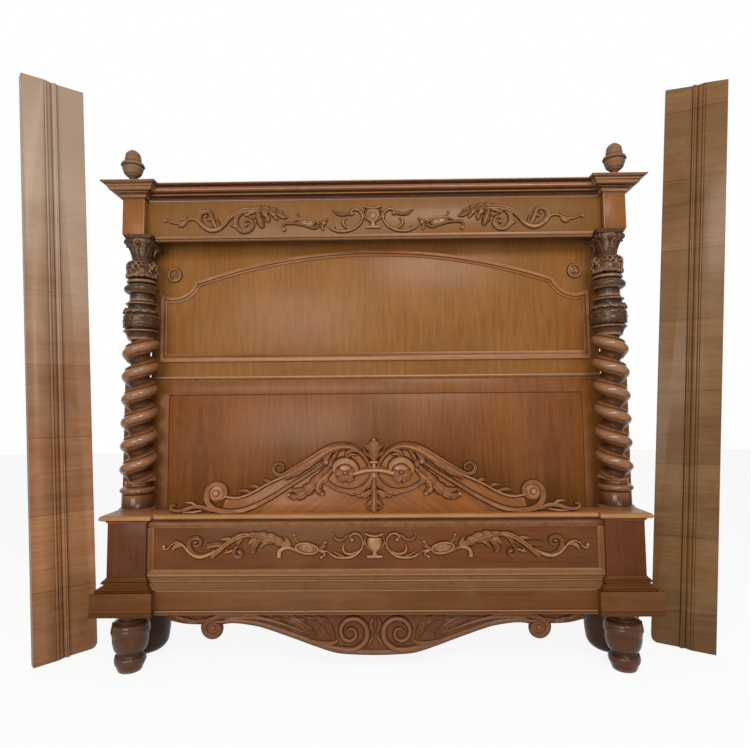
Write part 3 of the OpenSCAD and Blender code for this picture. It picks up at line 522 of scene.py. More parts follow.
def add_mirror(bm):
    """Adds the mirror image across the middle of the bed."""
    made = bmesh.ops.duplicate(bm, geom=bm.verts[:] + bm.edges[:] + bm.faces[:])["geom"]
    verts = [g for g in made if isinstance(g, bmesh.types.BMVert)]
    faces = [g for g in made if isinstance(g, bmesh.types.BMFace)]
    bmesh.ops.scale(bm, vec=(-1, 1, 1), verts=verts)
    bmesh.ops.reverse_faces(bm, faces=faces)


def flip(bm):
    """Turns the whole mesh into its mirror image."""
    bmesh.ops.scale(bm, vec=(-1, 1, 1), verts=bm.verts)
    bmesh.ops.reverse_faces(bm, faces=bm.faces)


def eased(bm, width, wanted):
    """Bevels the edges whose signed angle is wanted and returns the new faces."""
    edges = [e for e in bm.edges if e.is_manifold and wanted(e.calc_face_angle_signed(0))]
    return bmesh.ops.bevel(bm, geom=edges, offset=width, offset_type="OFFSET", segments=2,
                           profile=0.5, affect="EDGES", clamp_overlap=True, material=-1)["faces"]


SHADE_LINE_WIDTH = 0.0016  # width of the painted shade line in an inner corner
CORNER_TURN, EDGE_TURN = math.radians(20), math.radians(32)


def worked(node, material):
    """A joiner's piece: the solid with its edges eased, painted shade in its inner corners and, on
    mouldings, on faces that look down, and its eased edges lighter from wear and a painted
    highlight.
    """
    bm = bmesh.new()
    bm.from_mesh(frame["nodes"][node].data)
    bmesh.ops.remove_doubles(bm, verts=bm.verts, dist=2e-5)
    bmesh.ops.dissolve_limit(bm, angle_limit=math.radians(0.4), verts=bm.verts, edges=bm.edges)
    line = bm.faces.layers.float.new("line")
    # painted shade: the bevels of inner corners are marked dark
    for face in eased(bm, SHADE_LINE_WIDTH, lambda angle: angle < -CORNER_TURN):
        face[line] = 1.0
    # painted shade, partly dust: faces of mouldings, cornice, arch and slab that look down are
    # marked dark
    if material in ("moulding", "cornice", "arch", "slab"):
        bm.normal_update()
        for face in bm.faces:
            if face.normal.z < -0.8:
                face[line] = 0.8
    # painted highlight, partly wear: the convex eased edges are marked lighter
    wear_and_highlight = bm.faces.layers.float.new("wear_and_highlight")
    soften = bpy.context.scene.bed_sizes.soften
    for face in eased(bm, soften, lambda angle: angle > EDGE_TURN):
        face[line], face[wear_and_highlight] = 0.0, 1.0
    return finish_piece(bm, node + "_worked", material, BODY_OF[node], (node,), made=False)


def curve(*points):
    """Points of a profile. A point with a third value bows the run before it: a positive bow
    swells to the right of the way the profile runs, as a share of the run's length."""
    line = [Vector(points[0][:2])]
    for point in points[1:]:
        start, end = line[-1], Vector(point[:2])
        bow = point[2] if len(point) > 2 else 0
        if bow:
            chord = end - start
            side = Vector((chord.y, -chord.x)) * bow
            for i in range(1, 9):
                t = i / 9
                line.append(start.lerp(end, t) + side * (4 * t * (1 - t)) ** 0.8)
        line.append(end)
    return line


def turn_up(bm, profile, x, y, z, segments=72, near=7.0, depth=6.0):
    """Spins a half section round the upright line at x, y and marks its hollows."""
    layer = relief_layer(bm)
    spine = [bm.verts.new((r * T, 0, h * T)) for r, h in profile]
    for vert, (r, h) in zip(spine, profile):
        around = [p[0] for p in profile if abs(p[1] - h) < near]
        vert[layer] = min(1, max(0, 0.6 + (r - sum(around) / len(around)) / depth))
    edges = [bm.edges.new(pair) for pair in zip(spine, spine[1:])]
    old = set(bm.verts) - set(spine)
    bmesh.ops.spin(bm, geom=spine + edges, cent=(0, 0, 0), axis=(0, 0, 1), dvec=(0, 0, 0),
                   angle=2 * math.pi, steps=segments, use_merge=True, use_duplicate=False)
    made = [v for v in bm.verts if v not in old]
    bmesh.ops.remove_doubles(bm, verts=made, dist=1e-6)
    made = [v for v in bm.verts if v not in old]
    bmesh.ops.translate(bm, vec=(x * T, y * T, z * T), verts=made)


# ---------- carving ----------

def glide(points, share):
    """The value at a share of the way along a smooth line through numbers or vectors."""
    last = len(points) - 1
    if last == 0:
        return points[0]
    place = min(max(share, 0), 1) * last
    i = min(int(place), last - 1)
    t = place - i
    a, b, c, d = (points[k] for k in (max(i - 1, 0), i, i + 1, min(i + 2, last)))
    return 0.5 * (2 * b + (c - a) * t + (2 * a - 5 * b + 4 * c - d) * t * t
                  + (3 * b - a - 3 * c + d) * t * t * t)


def volute(x, z, outer, inner, start, turns, count=14):
    """Points that wind from an outer to an inner radius; start in degrees from the right."""
    line = []
    for i in range(count + 1):
        t = i / count
        angle = math.radians(start) + 2 * math.pi * turns * t
        radius = outer * (inner / outer) ** t
        line.append((x + radius * math.cos(angle), z + radius * math.sin(angle)))
    return line


def on_wall(y):
    """Maps x, z and a height over a wall that faces the front at y."""
    return lambda x, z, h: Vector((x, y - h, z)) * T


def on_drum(x, y, radius, turn=0.0):
    """Maps an arc length round an upright drum, z and a height; turn in degrees from the front.
    The radius is a number or a function of z."""
    def place(a, z, h):
        r = radius(z) if callable(radius) else radius
        angle = math.radians(turn) + a / max(r, 20)
        return Vector((x + (r + h) * math.sin(angle), y - (r + h) * math.cos(angle), z)) * T
    return place


def on_blade(x, y, turn):
    """Maps a distance out from an upright axis, z and a height to one side."""
    out = Vector((math.sin(math.radians(turn)), -math.cos(math.radians(turn)), 0))
    side = Vector((out.y, -out.x, 0))
    return lambda a, z, h: (Vector((x, y, z)) + out * a + side * h) * T


LAG = 0.35  # how far a lobe's edge trails its middle
VEIN, RIM = 0.16, 0.35  # half width of a midrib, inner edge of a rim, as shares of the leaf
SHADOW_RIM = 1.9  # width of the low rim beside a stroke, left at relief 0 so that the hollow stain paints a shadow line round the carving


def carve(bm, place, line, wide, high, lobes=0, cut=0.35, flutes=0, flute=0.3, vein=0.0,
          rims=0.0, square=2.0, foot=-1.5, both=False, steps=44, around=20):
    """A carved stem, strap or leaf.

    line: points of its middle; wide: half widths; high: heights of its crest, all along the line.
    lobes notch the edges of a leaf and flute it; flutes run along it; vein sinks its midrib;
    rims raises its edges round a hollow; square above 2 makes its section boxier."""
    layer = relief_layer(bm)
    points = [Vector(p) for p in line]
    made = bmesh.ops.create_grid(bm, x_segments=steps, y_segments=around, size=0.5)["verts"]
    stations = []
    for i in range(steps + 1):
        u = i / steps
        ahead = glide(points, u + 0.004) - glide(points, u - 0.004)
        if ahead.length < 1e-6:
            ahead = points[-1] - points[0]
        ahead.normalize()
        stations.append((u, glide(points, u), Vector((-ahead.y, ahead.x)), max(glide(wide, u), 0.3),
                         max(glide(high, u), 0.2)))
    for vert in made:
        u, middle, side, half, crest = stations[round((vert.co.x + 0.5) * steps)]
        angle = 2 * math.pi * (vert.co.y + 0.5)
        j, front = math.cos(angle), math.sin(angle) > -1e-9
        level = max(0.0, 1 - abs(j) ** square) ** (1 / square)
        if lobes:
            wave = abs(math.sin(math.pi * lobes * (u + LAG * (1 - abs(j)) / lobes)))
            wave = wave ** 0.55
            half *= 1 - cut * (1 - wave) * j * j
            level *= 1 - 0.6 * (1 - wave) * min(1, 1.4 * abs(j))
        if flutes:
            level *= 1 - flute * (0.5 + 0.5 * math.cos(2 * math.pi * flutes * (j + 1) / 2)) * (
                1 - j ** 8)
        if vein:
            level *= 1 - vein * math.exp(-(j / VEIN) ** 2)
        if rims:
            level *= 1 - rims * (1 - min(1, max(0, (abs(j) - RIM) / RIM)) ** 2)
        if front:
            lift = crest * level
        else:
            lift = -crest * level if both else foot
        at = middle + side * half * j
        # painted shadow: a low rim beside the stroke, at relief 0, is stained dark
        if front and not both and abs(j) > 0.99:
            at = at + side * min(SHADOW_RIM, half * 0.5) * j
            lift = 0.2
        vert[layer] = min(1.0, max(0.0, level * min(1, crest / 3))) if front or both else 0.0
        vert.co = place(at.x, at.y, lift)
    bmesh.ops.remove_doubles(bm, verts=made, dist=1e-6)


def dome(bm, place, x, z, radius, height, foot=-1.5, tall=1.0, tilt=0.0, steps=20):
    """A boss, ball or bud; tall stretches it along a line tilted by degrees."""
    layer = relief_layer(bm)
    rings = 9
    made = bmesh.ops.create_grid(bm, x_segments=steps, y_segments=rings, size=0.5)["verts"]
    cosine, sine = math.cos(math.radians(tilt)), math.sin(math.radians(tilt))
    for vert in made:
        angle = 2 * math.pi * (vert.co.x + 0.5)
        t = vert.co.y + 0.5
        if t > 0.99:
            share, level = 1.0, foot
        else:
            share = math.sin(t / 0.9 * math.pi / 2)
            level = height * math.cos(t / 0.9 * math.pi / 2) ** 0.8
        a, b = radius * tall * share * math.cos(angle), radius * share * math.sin(angle)
        vert[layer] = min(1, max(0, level / max(height, 1)))
        vert.co = place(x + a * cosine - b * sine, z + a * sine + b * cosine, level)
    bmesh.ops.remove_doubles(bm, verts=made, dist=1e-6)


def petal(bm, place, x, z, angle, reach, half, height, base=0.0, cup=0.45):
    """A rounded petal with a raised rim, from its root outwards at an angle in degrees."""
    dx, dz = math.cos(math.radians(angle)), math.sin(math.radians(angle))
    carve(bm, place, [(x + dx * reach * t, z + dz * reach * t) for t in (0, 0.4, 0.8, 1)], [half *
        0.35, half * 0.8, half, half * 0.55], [base + height * 0.5, base + height, base + height,
        base + height * 0.6], rims=cup, steps=16, around=18)


# ---------- headboard ----------

class BED_OT_joinery(bpy.types.Operator):
    """Ease the edges of boards, blocks, plinths and mouldings, and give them their finishes"""
    bl_idname = "bed.joinery"
    bl_label = "Joinery"

    finishes = {
        "pedestal_L": "pedestal", "pedestal_R": "pedestal",
        "pedestal_cap_L": "moulding", "pedestal_cap_R": "moulding",
        "entablature_block_L": "block", "entablature_block_R": "block",
        "frieze_board": "frieze", "entablature_core": "plain_across",
        "frieze_lower_moulding": "moulding", "cornice_bed": "cornice", "cornice_band": "cornice",
        "cornice_crown": "cornice", "upper_panel": "panel", "arched_moulding": "arch",
        "ledge_moulding": "moulding", "lower_panel": "lower_panel",
        "back_stile_L": "plain", "back_stile_R": "plain", "back_rails": "plain_across",
        "footboard_post_L": "post", "footboard_post_R": "post",
        "corner_plinth_L": "framing", "corner_plinth_R": "framing", "centre_plinth": "framing",
        "base_moulding": "moulding", "footboard_panel": "foot_panel",
        "panel_edge_mouldings": "upright", "footboard_back_panel": "plain_across",
        "cap_cove": "moulding", "cap_slab": "slab", "crest_board": "veneer",
        "side_rail_L": "rail_left", "side_rail_R": "rail_right",
        "slat_ledge_L": "plain", "slat_ledge_R": "plain",
    }

    def execute(self, context):
        for node, finish in self.finishes.items():
            worked(node, finish)
        for node in ("rail_end_plates_L", "rail_end_plates_R", "headboard_stud_plates",
                     "footboard_stud_plates", "plate_screws"):
            materials = frame["nodes"][node].data.materials
            materials.clear()
            materials.append(FINISH["screw" if node == "plate_screws" else "steel"])
        return {"FINISHED"}


# ---------- columns ----------

def rope(share, outer, core):
    """Radius of the twist at a share of its pitch, downwards: fillet, fat roll, bead, hollow."""
    rim, d = outer - 14, share * 78.5
    if d < 7:
        return rim + 4.5 * math.sin(math.pi * d / 7) ** 0.7
    if d < 9:
        return rim
    if d < 43:
        return rim + 14 * math.sin(math.pi * (d - 9) / 34) ** 0.6
    if d < 51:
        return rim - 6 + 7 * math.sin(math.pi * (d - 43) / 8) ** 0.7
    s = (d - 51) / 27.5
    return core + (rim - 6 * (s < 0.5) - core) * abs(1 - 2 * s) ** 2.2


TWIST_LOW, TWIST_HIGH, TWIST_PHASE = 557.0, 1035.8, 91.0
CUP_Z, CAPITAL_Z = 1035.8, 1171.8
ABACUS_Z = 1.3905


def collar_r(z):
    """Radius of the capital's leafy collar and bell at a height above the capital's foot"""
    return glide([38, 46, 50, 50, 48, 44, 40, 36, 33, 32, 33, 36, 41], (z - 80) / 132)


def raised(at, z):
    """The same mapping with its heights counted from z."""
    return lambda a, h, lift: at(a, z + h, lift)


def leaf_ring(bm, x, y, z, count, radius, root, tip, half, high, turn=0.0, roll=5.0, lobes=3):
    """Leaves round a turned piece, each from its root to a tip that rolls outwards."""
    for i in range(count):
        at = raised(on_drum(x, y, radius, turn + 360 * i / count), z)
        way = 1 if tip > root else -1
        carve(bm, at, [(0, root), (0, root + (tip - root) * 0.5), (0, tip)], [half * 0.55, half,
            half * 0.75], [1.5, high * 0.55, high], lobes=lobes, cut=0.3, vein=0.45, steps=18,
            around=16)
        dome(bm, at, 0, tip - way * roll * 0.3, roll, high + 2.5, tall=1.35, steps=12)


class BED_OT_columns(bpy.types.Operator):
    """Turn the columns' bases, cut their rope twist and carve their cups and capitals"""
    bl_idname = "bed.columns"
    bl_label = "Columns"

    def shaft(self, s):
        x, y = s.column_x / T, s.column_y / T
        outer, core, pitch = s.twist_r / T, s.twist_core / T, s.twist_pitch / T
        bm = bmesh.new()
        layer = relief_layer(bm)
        count, spine = 40, []
        for i in range(int(count * ((TWIST_HIGH - TWIST_LOW) / pitch + 2.2))):
            z = TWIST_LOW - pitch + i * pitch / count
            share = (TWIST_PHASE / 360 + (z - TWIST_LOW) / pitch) % 1
            radius = rope(1 - share if share else 0, outer, core)
            vert = bm.verts.new((radius * T, 0, z * T))
            vert[layer] = min(1, (radius - core) / (outer - core) * 1.25)
            spine.append(vert)
        edges = [bm.edges.new(pair) for pair in zip(spine, spine[1:])]
        steps = 72
        bmesh.ops.spin(bm, geom=spine + edges, cent=(0, 0, 0), axis=(0, 0, 1), angle=2 * math.pi,
                       dvec=(0, 0, -pitch * T / steps), steps=steps, use_merge=False,
                       use_duplicate=False)
        bmesh.ops.remove_doubles(bm, verts=bm.verts, dist=3e-6)
        for height, below in ((TWIST_LOW, True), (TWIST_HIGH, False)):
            bmesh.ops.bisect_plane(bm, geom=bm.verts[:] + bm.edges[:] + bm.faces[:],
                                   plane_co=(0, 0, height * T), plane_no=(0, 0, 1),
                                   clear_inner=below, clear_outer=not below)
        bmesh.ops.translate(bm, vec=(x * T, y * T, 0), verts=bm.verts)
        return bm

    def base(self, s):
        bm = bmesh.new()
        turn_up(bm, curve((0, 0), (51, 0), (51.5, 21, 0.46), (50, 22.5), (50, 64), (46, 65.5),
            (44, 89.5, 0.48), (42, 91), (40, 95), (38.5, 100), (41, 104), (41, 109), (0, 109)),
            s.column_x / T, s.column_y / T, s.pedestal_top / T)
        return bm

    def cup(self, s):
        x, y = s.column_x / T, s.column_y / T
        bm = bmesh.new()
        turn_up(bm, curve((0, 0), (41, 0), (43, 5), (46, 14), (49, 20, -0.1), (51, 25), (54, 26),
            (54, 34, 0.4), (50, 36), (50, 38), (53, 40), (58, 60, 0.12), (58, 72), (53, 88, 0.14),
            (54, 92), (56, 99, 0.2), (52, 101), (45, 106, -0.2), (44, 117), (49, 122, -0.1),
            (49, 127, 0.5), (43, 130, -0.2), (41, 136), (0, 136)), x, y, CUP_Z)
        leaf_ring(bm, x, y, CUP_Z, 11, 53, 106, 92, 15, 5, roll=5)
        leaf_ring(bm, x, y, CUP_Z, 11, 54, 108, 97, 10, 4.5, turn=16, roll=4)
        leaf_ring(bm, x, y, CUP_Z, 11, 57, 42, 66, 15, 2.5, turn=10, roll=3)
        return bm

    def capital(self, s):
        x, y = s.column_x / T, s.column_y / T
        bm = bmesh.new()
        turn_up(bm, curve((0, 0), (39, 0), (39, 22), (41, 23), (41, 57, 0.5), (43, 58),
            (43, 73, 0.45), (37, 74), (36, 78), (44, 80), (50, 86, 0.15), (50, 106, 0.06),
            (42, 128), (37, 140), (33, 148), (32, 172, -0.04), (35, 196, -0.05), (41, 212),
            (0, 212)), x, y, CAPITAL_Z)
        for i in range(60):
            row, place = divmod(i, 15)
            at = on_drum(x, y, collar_r, place * 24 + (row % 2) * 12 + 5 * math.sin(i * 2.3))
            foot, way = 87 + row * 12, 1 if (i + row) % 3 else -1
            carve(bm, lambda a, h, lift, at=at, way=way, foot=foot: at(a * way, CAPITAL_Z + foot +
                h, lift), [(-9, 3), (-3, -6), (6, -5), (9, 3), (3, 8), (-2, 3)], [2.4, 3.8, 4.4, 4,
                3.4, 2.2], [5, 9, 12 + 2 * math.sin(i), 12, 10, 7], steps=20, around=12)
        leaf_ring(bm, x, y, CAPITAL_Z, 8, lambda z: 33, 150, 194, 12, 7, turn=22.5, roll=5,
            lobes=4)
        for turn in (45, 135, 225, 315):
            at = raised(on_blade(x, y, turn), CAPITAL_Z)
            stem = [(32, 148), (34, 170), (40, 192), (47, 205), (54, 206)]
            curl = volute(53, 199, 8, 2.2, 60, -1.3, 10)
            carve(bm, at, stem + curl, [5, 6, 6, 5, 4.5, 4, 3.5, 3, 2.5, 2], [7, 8, 9, 9, 8, 8, 8,
                8, 8, 8], both=True, rims=0.25, steps=46, around=14)
            for lift in (-7, 7):
                leaf = raised(on_blade(x, y, turn + lift * 1.4), CAPITAL_Z)
                carve(bm, leaf, [(34, 158), (40, 180), (48, 190), (53, 184)], [3, 5, 5, 3], [4, 6,
                    6, 4], both=True, flutes=2, steps=18, around=12)
        for turn in (0, 90, 180, 270):
            at = raised(on_drum(x, y, 36, turn), CAPITAL_Z)
            for angle in (0, 60, 120, 180, 240, 300):
                petal(bm, at, 0, 200, angle, 9, 4.5, 8)
            dome(bm, at, 0, 200, 4, 11, steps=12)
        return bm

    def abacus(self, s):
        bm = bmesh.new()
        layer = relief_layer(bm)
        bmesh.ops.create_cube(bm, size=1)
        bmesh.ops.scale(bm, vec=(0.1, 0.1, 0.013), verts=bm.verts)
        bmesh.ops.translate(bm, vec=(s.column_x, s.column_y, ABACUS_Z), verts=bm.verts)
        lower = [v for v in bm.verts if v.co.z < ABACUS_Z]
        bmesh.ops.scale(bm, vec=(0.88, 0.88, 1), verts=lower,
                        space=Matrix.Translation((-s.column_x, -s.column_y, 0)))
        bmesh.ops.bevel(bm, geom=bm.edges[:], offset=0.0025, segments=3, profile=0.5,
                        affect="EDGES", material=-1)
        for vert in bm.verts:
            vert[layer] = 0.7
        return bm

    def execute(self, context):
        s = context.scene.bed_sizes
        pieces = (("shaft", self.shaft, "turned"), ("base", self.base, "turned"),
                  ("cup", self.cup, "capital"), ("capital", self.capital, "capital"))
        for side in SIDES:
            for name, make, finish in pieces:
                finish_side(make(s), side, f"carved_{name}", finish, f"column_{name}", smooth=50)
            bm = self.abacus(s)
            if side < 0:
                flip(bm)
            hand = "R" if side > 0 else "L"
            finish_piece(bm, f"abacus_{hand}", "capital", slot="walnut_carved")
        return {"FINISHED"}


FOOT, BUN, ACORN = (755, -86, 0), (783, 75, 0), (830, 17, 1568)


class BED_OT_feet(bpy.types.Operator):
    """Turn and carve the four feet"""
    bl_idname = "bed.feet"
    bl_label = "Feet"

    def execute(self, context):
        for side in SIDES:
            bm = bmesh.new()
            turn_up(bm, curve((0, 0), (31, 0), (36, 5, 0.2), (43, 22), (46, 36, 0.1),
                (43, 45, 0.1), (38, 50), (38, 53), (44, 61), (51, 80, 0.06), (53, 98, 0.04),
                (54, 106), (55, 112), (55, 132, 0.1), (50, 146, 0.12), (40, 153), (31, 155),
                (30, 168, -0.04), (33, 173), (42, 175), (42, 181), (0, 182)), *FOOT)
            leaf_ring(bm, *FOOT, 11, 52.5, 145, 113, 15, 3.2, turn=8, roll=1.6)
            leaf_ring(bm, *FOOT, 11, 52, 143, 122, 12, 4.5, turn=24, roll=2)
            leaf_ring(bm, *FOOT, 9, 43, 47, 26, 15, 2.2, turn=0, roll=1.6)
            finish_side(bm, side, "carved_foot", "foot", "footboard_foot", smooth=50)
            bm = bmesh.new()
            turn_up(bm, curve((0, 0), (60, 0), (80, 26, 0.12), (85, 70, 0.02), (86, 115),
                (80, 146, 0.06), (60, 171, 0.1), (60, 184), (0, 184)), *BUN)
            finish_side(bm, side, "bun_foot", "bun", "headboard_foot")
        return {"FINISHED"}


class BED_OT_finials(bpy.types.Operator):
    """Turn the acorns that stand on the cornice"""
    bl_idname = "bed.finials"
    bl_label = "Acorn finials"

    def execute(self, context):
        for side in SIDES:
            bm = bmesh.new()
            turn_up(bm, curve((0, -30), (8, -30), (8, 0.3), (16, 0.3), (16.5, 5, 0.4),
                (10, 8, -0.2), (8.5, 14), (8, 24), (10, 27), (12, 29, 0.4), (12, 31),
                (23, 38, 0.1), (30, 50, 0.14), (34, 62, 0.06), (33, 67), (36, 69), (37.5, 74, 0.4),
                (34, 80, 0.1), (27, 83), (26.5, 88), (25, 102, 0.08), (16, 120, 0.16),
                (4, 127.5, 0.1), (0, 128)), *ACORN, segments=56, near=5)
            body = "finial_R" if side > 0 else "finial_L"
            finish_side(bm, side, "acorn", "acorn", "finial", body=body)
        return {"FINISHED"}


# ---------- carved bands ----------

FOOT_WALL, APRON_WALL, SLAB_TOP = -113, -122, 475


def scroll_half(bm, at):
    """Left half of the scroll of leaves, from its end curl to the urn"""
    cut, boss = partial(carve, bm, at), partial(dome, bm, at)
    boss(-645, 6, 6.5, 7)
    cut([(-642, 14), (-650, 7), (-642, -2), (-628, 5)], [1.5, 2.5, 3, 3], [4, 5, 5, 5], steps=20)
    cut([(-629, 5), (-621, 14), (-606, 20), (-591, 15), (-581, 5), (-571, -7), (-558, -17),
        (-539, -24), (-518, -21), (-500, -13), (-482, -2)], [2.2, 3, 3.4, 3.6, 4, 4.8, 6, 7.5, 7.5,
        5, 2.5], [5, 6, 7, 7, 7, 7, 8, 8, 8, 7, 4], steps=60)
    cut([(-581, 8), (-599, 11), (-613, 5), (-619, -6)], [2, 7, 7.5, 3], [4, 6, 7, 5], flutes=2,
        steps=24)
    cut([(-532, -20), (-556, -12), (-567, 3), (-568, 20), (-558, 31), (-544, 33), (-533, 26),
        (-533, 15), (-543, 9), (-553, 11)], [3, 7, 8, 7, 6.5, 6, 5.5, 5, 4.5, 3], [5, 9, 10, 11,
        11, 11, 11, 10, 9, 7], rims=0.5, steps=60)
    boss(-548, 20, 5, 8)
    cut([(-450, 12), (-484, 13), (-512, 8)], [4, 8, 8], [5, 8, 8], rims=0.55, steps=24)
    cut([(-425, 25), (-452, 29), (-475, 28)], [5, 7, 1], [5, 7, 4], flutes=2, steps=20)
    cut([(-384, 42), (-408, 39), (-434, 27), (-461, 8), (-481, -9), (-498, -24)], [7, 9, 8.5, 8,
        8.5, 7], [9, 10, 10, 10, 11, 10], flutes=2, flute=0.35, square=2.4)
    cut(volute(-415, -12, 20, 5, 100, 1.2), [4, 6, 6, 5.5, 5, 4, 3], [7, 9, 10, 10, 9, 8, 7],
        rims=0.5, steps=48)
    boss(-411, -10, 6, 11)
    cut([(-394, 37), (-408, 30), (-420, 14)], [3, 7, 7], [7, 9, 10], vein=0.4, steps=20)
    cut([(-459, -12), (-448, -10), (-434, -4)], [2, 4, 4.5], [5, 7, 7], steps=14)
    boss(-452, -5, 4, 7)
    cut([(-386, 41), (-355, 39), (-329, 34), (-302, 25), (-281, 14), (-254, 1)], [8, 14, 18, 17,
        14, 4], [9, 10, 11, 11, 10, 6], lobes=5, cut=0.38, flutes=4, flute=0.35, steps=60,
        around=28)
    cut([(-288, 16), (-297, 30), (-306, 42)], [8, 6.5, 1], [8, 9, 5], vein=0.3, steps=18)
    cut([(-260, 8), (-267, 24), (-276, 36)], [8, 6, 1], [7, 8, 5], vein=0.3, steps=18)
    cut([(-312, 28), (-334, 29), (-356, 21), (-370, 6), (-371, -12)], [6, 10, 11, 11, 9], [9, 12,
        13, 13, 12], lobes=2, cut=0.2, flutes=3, flute=0.4, steps=40, around=24)
    cut([(-358, 28), (-374, 25), (-384, 14)], [5, 8, 6], [8, 10, 10], flutes=2, steps=20)
    cut([(-320, 20), (-337, 16), (-349, 4)], [4, 6.5, 5], [8, 10, 10], flutes=2, steps=20)
    cut([(-258, 3), (-279, 0), (-290, -9), (-292, -26)], [3, 6, 7, 7.5], [6, 8, 9, 9], square=3,
        steps=24)
    cut([(-304, 20), (-276, 8), (-244, -4), (-214, -15), (-190, -18)], [4, 6.5, 6, 5, 3], [6, 7, 7,
        7, 6], vein=0.3, steps=36)
    boss(-207, 0, 16, 5, tall=2.2, tilt=-9, steps=28)
    rim = [(-207 + 34 * math.cos(a) * math.cos(0.15) + 15 * math.sin(a) * math.sin(0.15),
            34 * math.cos(a) * -math.sin(0.15) + 15 * math.sin(a) * math.cos(0.15))
           for a in (i * math.pi / 8 for i in range(17))]
    cut(rim, [4.2], [10], steps=56, around=14)
    for x, z, r in ((-224, 5, 5), (-207, 1, 6), (-192, -3, 4.5)):
        boss(x, z, r, 9, tall=1.4, tilt=-25)
    boss(-245, 40, 5.5, 8)
    cut([(-245, 36), (-239, 23), (-228, 14)], [1.6, 2, 2.4], [4, 5, 5], steps=14)
    cut([(-173, -2), (-158, 3), (-144, 9)], [3.5, 6, 1.5], [7, 9, 6], vein=0.4, steps=18)
    cut([(-173, -5), (-156, -8), (-140, -9)], [3, 4.5, 1.5], [6, 8, 5], steps=18)
    cut([(-168, -8), (-155, -13), (-153, -20), (-162, -26)], [2, 3.2, 3.5, 3], [6, 7, 7, 7],
        steps=20)
    boss(-163, -26, 6, 9)
    cut([(-166, 1), (-157, 10), (-151, 17)], [2, 2.6, 2], [6, 7, 6], steps=14)
    boss(-150, 19, 5.5, 9)
    cut([(-142, -11), (-128, -21), (-114, -27), (-94, -29), (-73, -26), (-56, -18), (-44, -6),
        (-37, 4), (-36, 18), (-40, 32), (-50, 42), (-62, 44), (-72, 39), (-77, 29)], [1.4, 3.6,
        4.2, 4.8, 5.2, 4.8, 4.2, 3.5, 3, 3.3, 4, 4.4, 4.2, 3], [5, 7, 7, 8, 8, 8, 7, 6, 6, 7, 9, 9,
        9, 8], steps=80, around=16)
    boss(-69, 26, 7.5, 11)
    cut([(-91, 15), (-97, 2), (-94, -9), (-84, -16), (-69, -17), (-52, -10)], [1, 3.6, 4.8, 4.4,
        3.8, 2], [5, 7, 8, 8, 7, 5], steps=36, around=14)
    cut([(-120, -13), (-106, -20), (-90, -27)], [2.4, 3, 2], [6, 7, 5], steps=14)
    boss(-120, -12, 3.4, 7)
    cut([(-72, 40), (-85, 35), (-95, 26), (-108, 24), (-120, 30), (-126, 39)], [3, 5.5, 4.5, 5,
        4.5, 2], [7, 9, 8, 8, 8, 6], vein=0.35, steps=36)
    boss(-126, 42, 4.2, 7)
    boss(-33, 13, 4.5, 8)


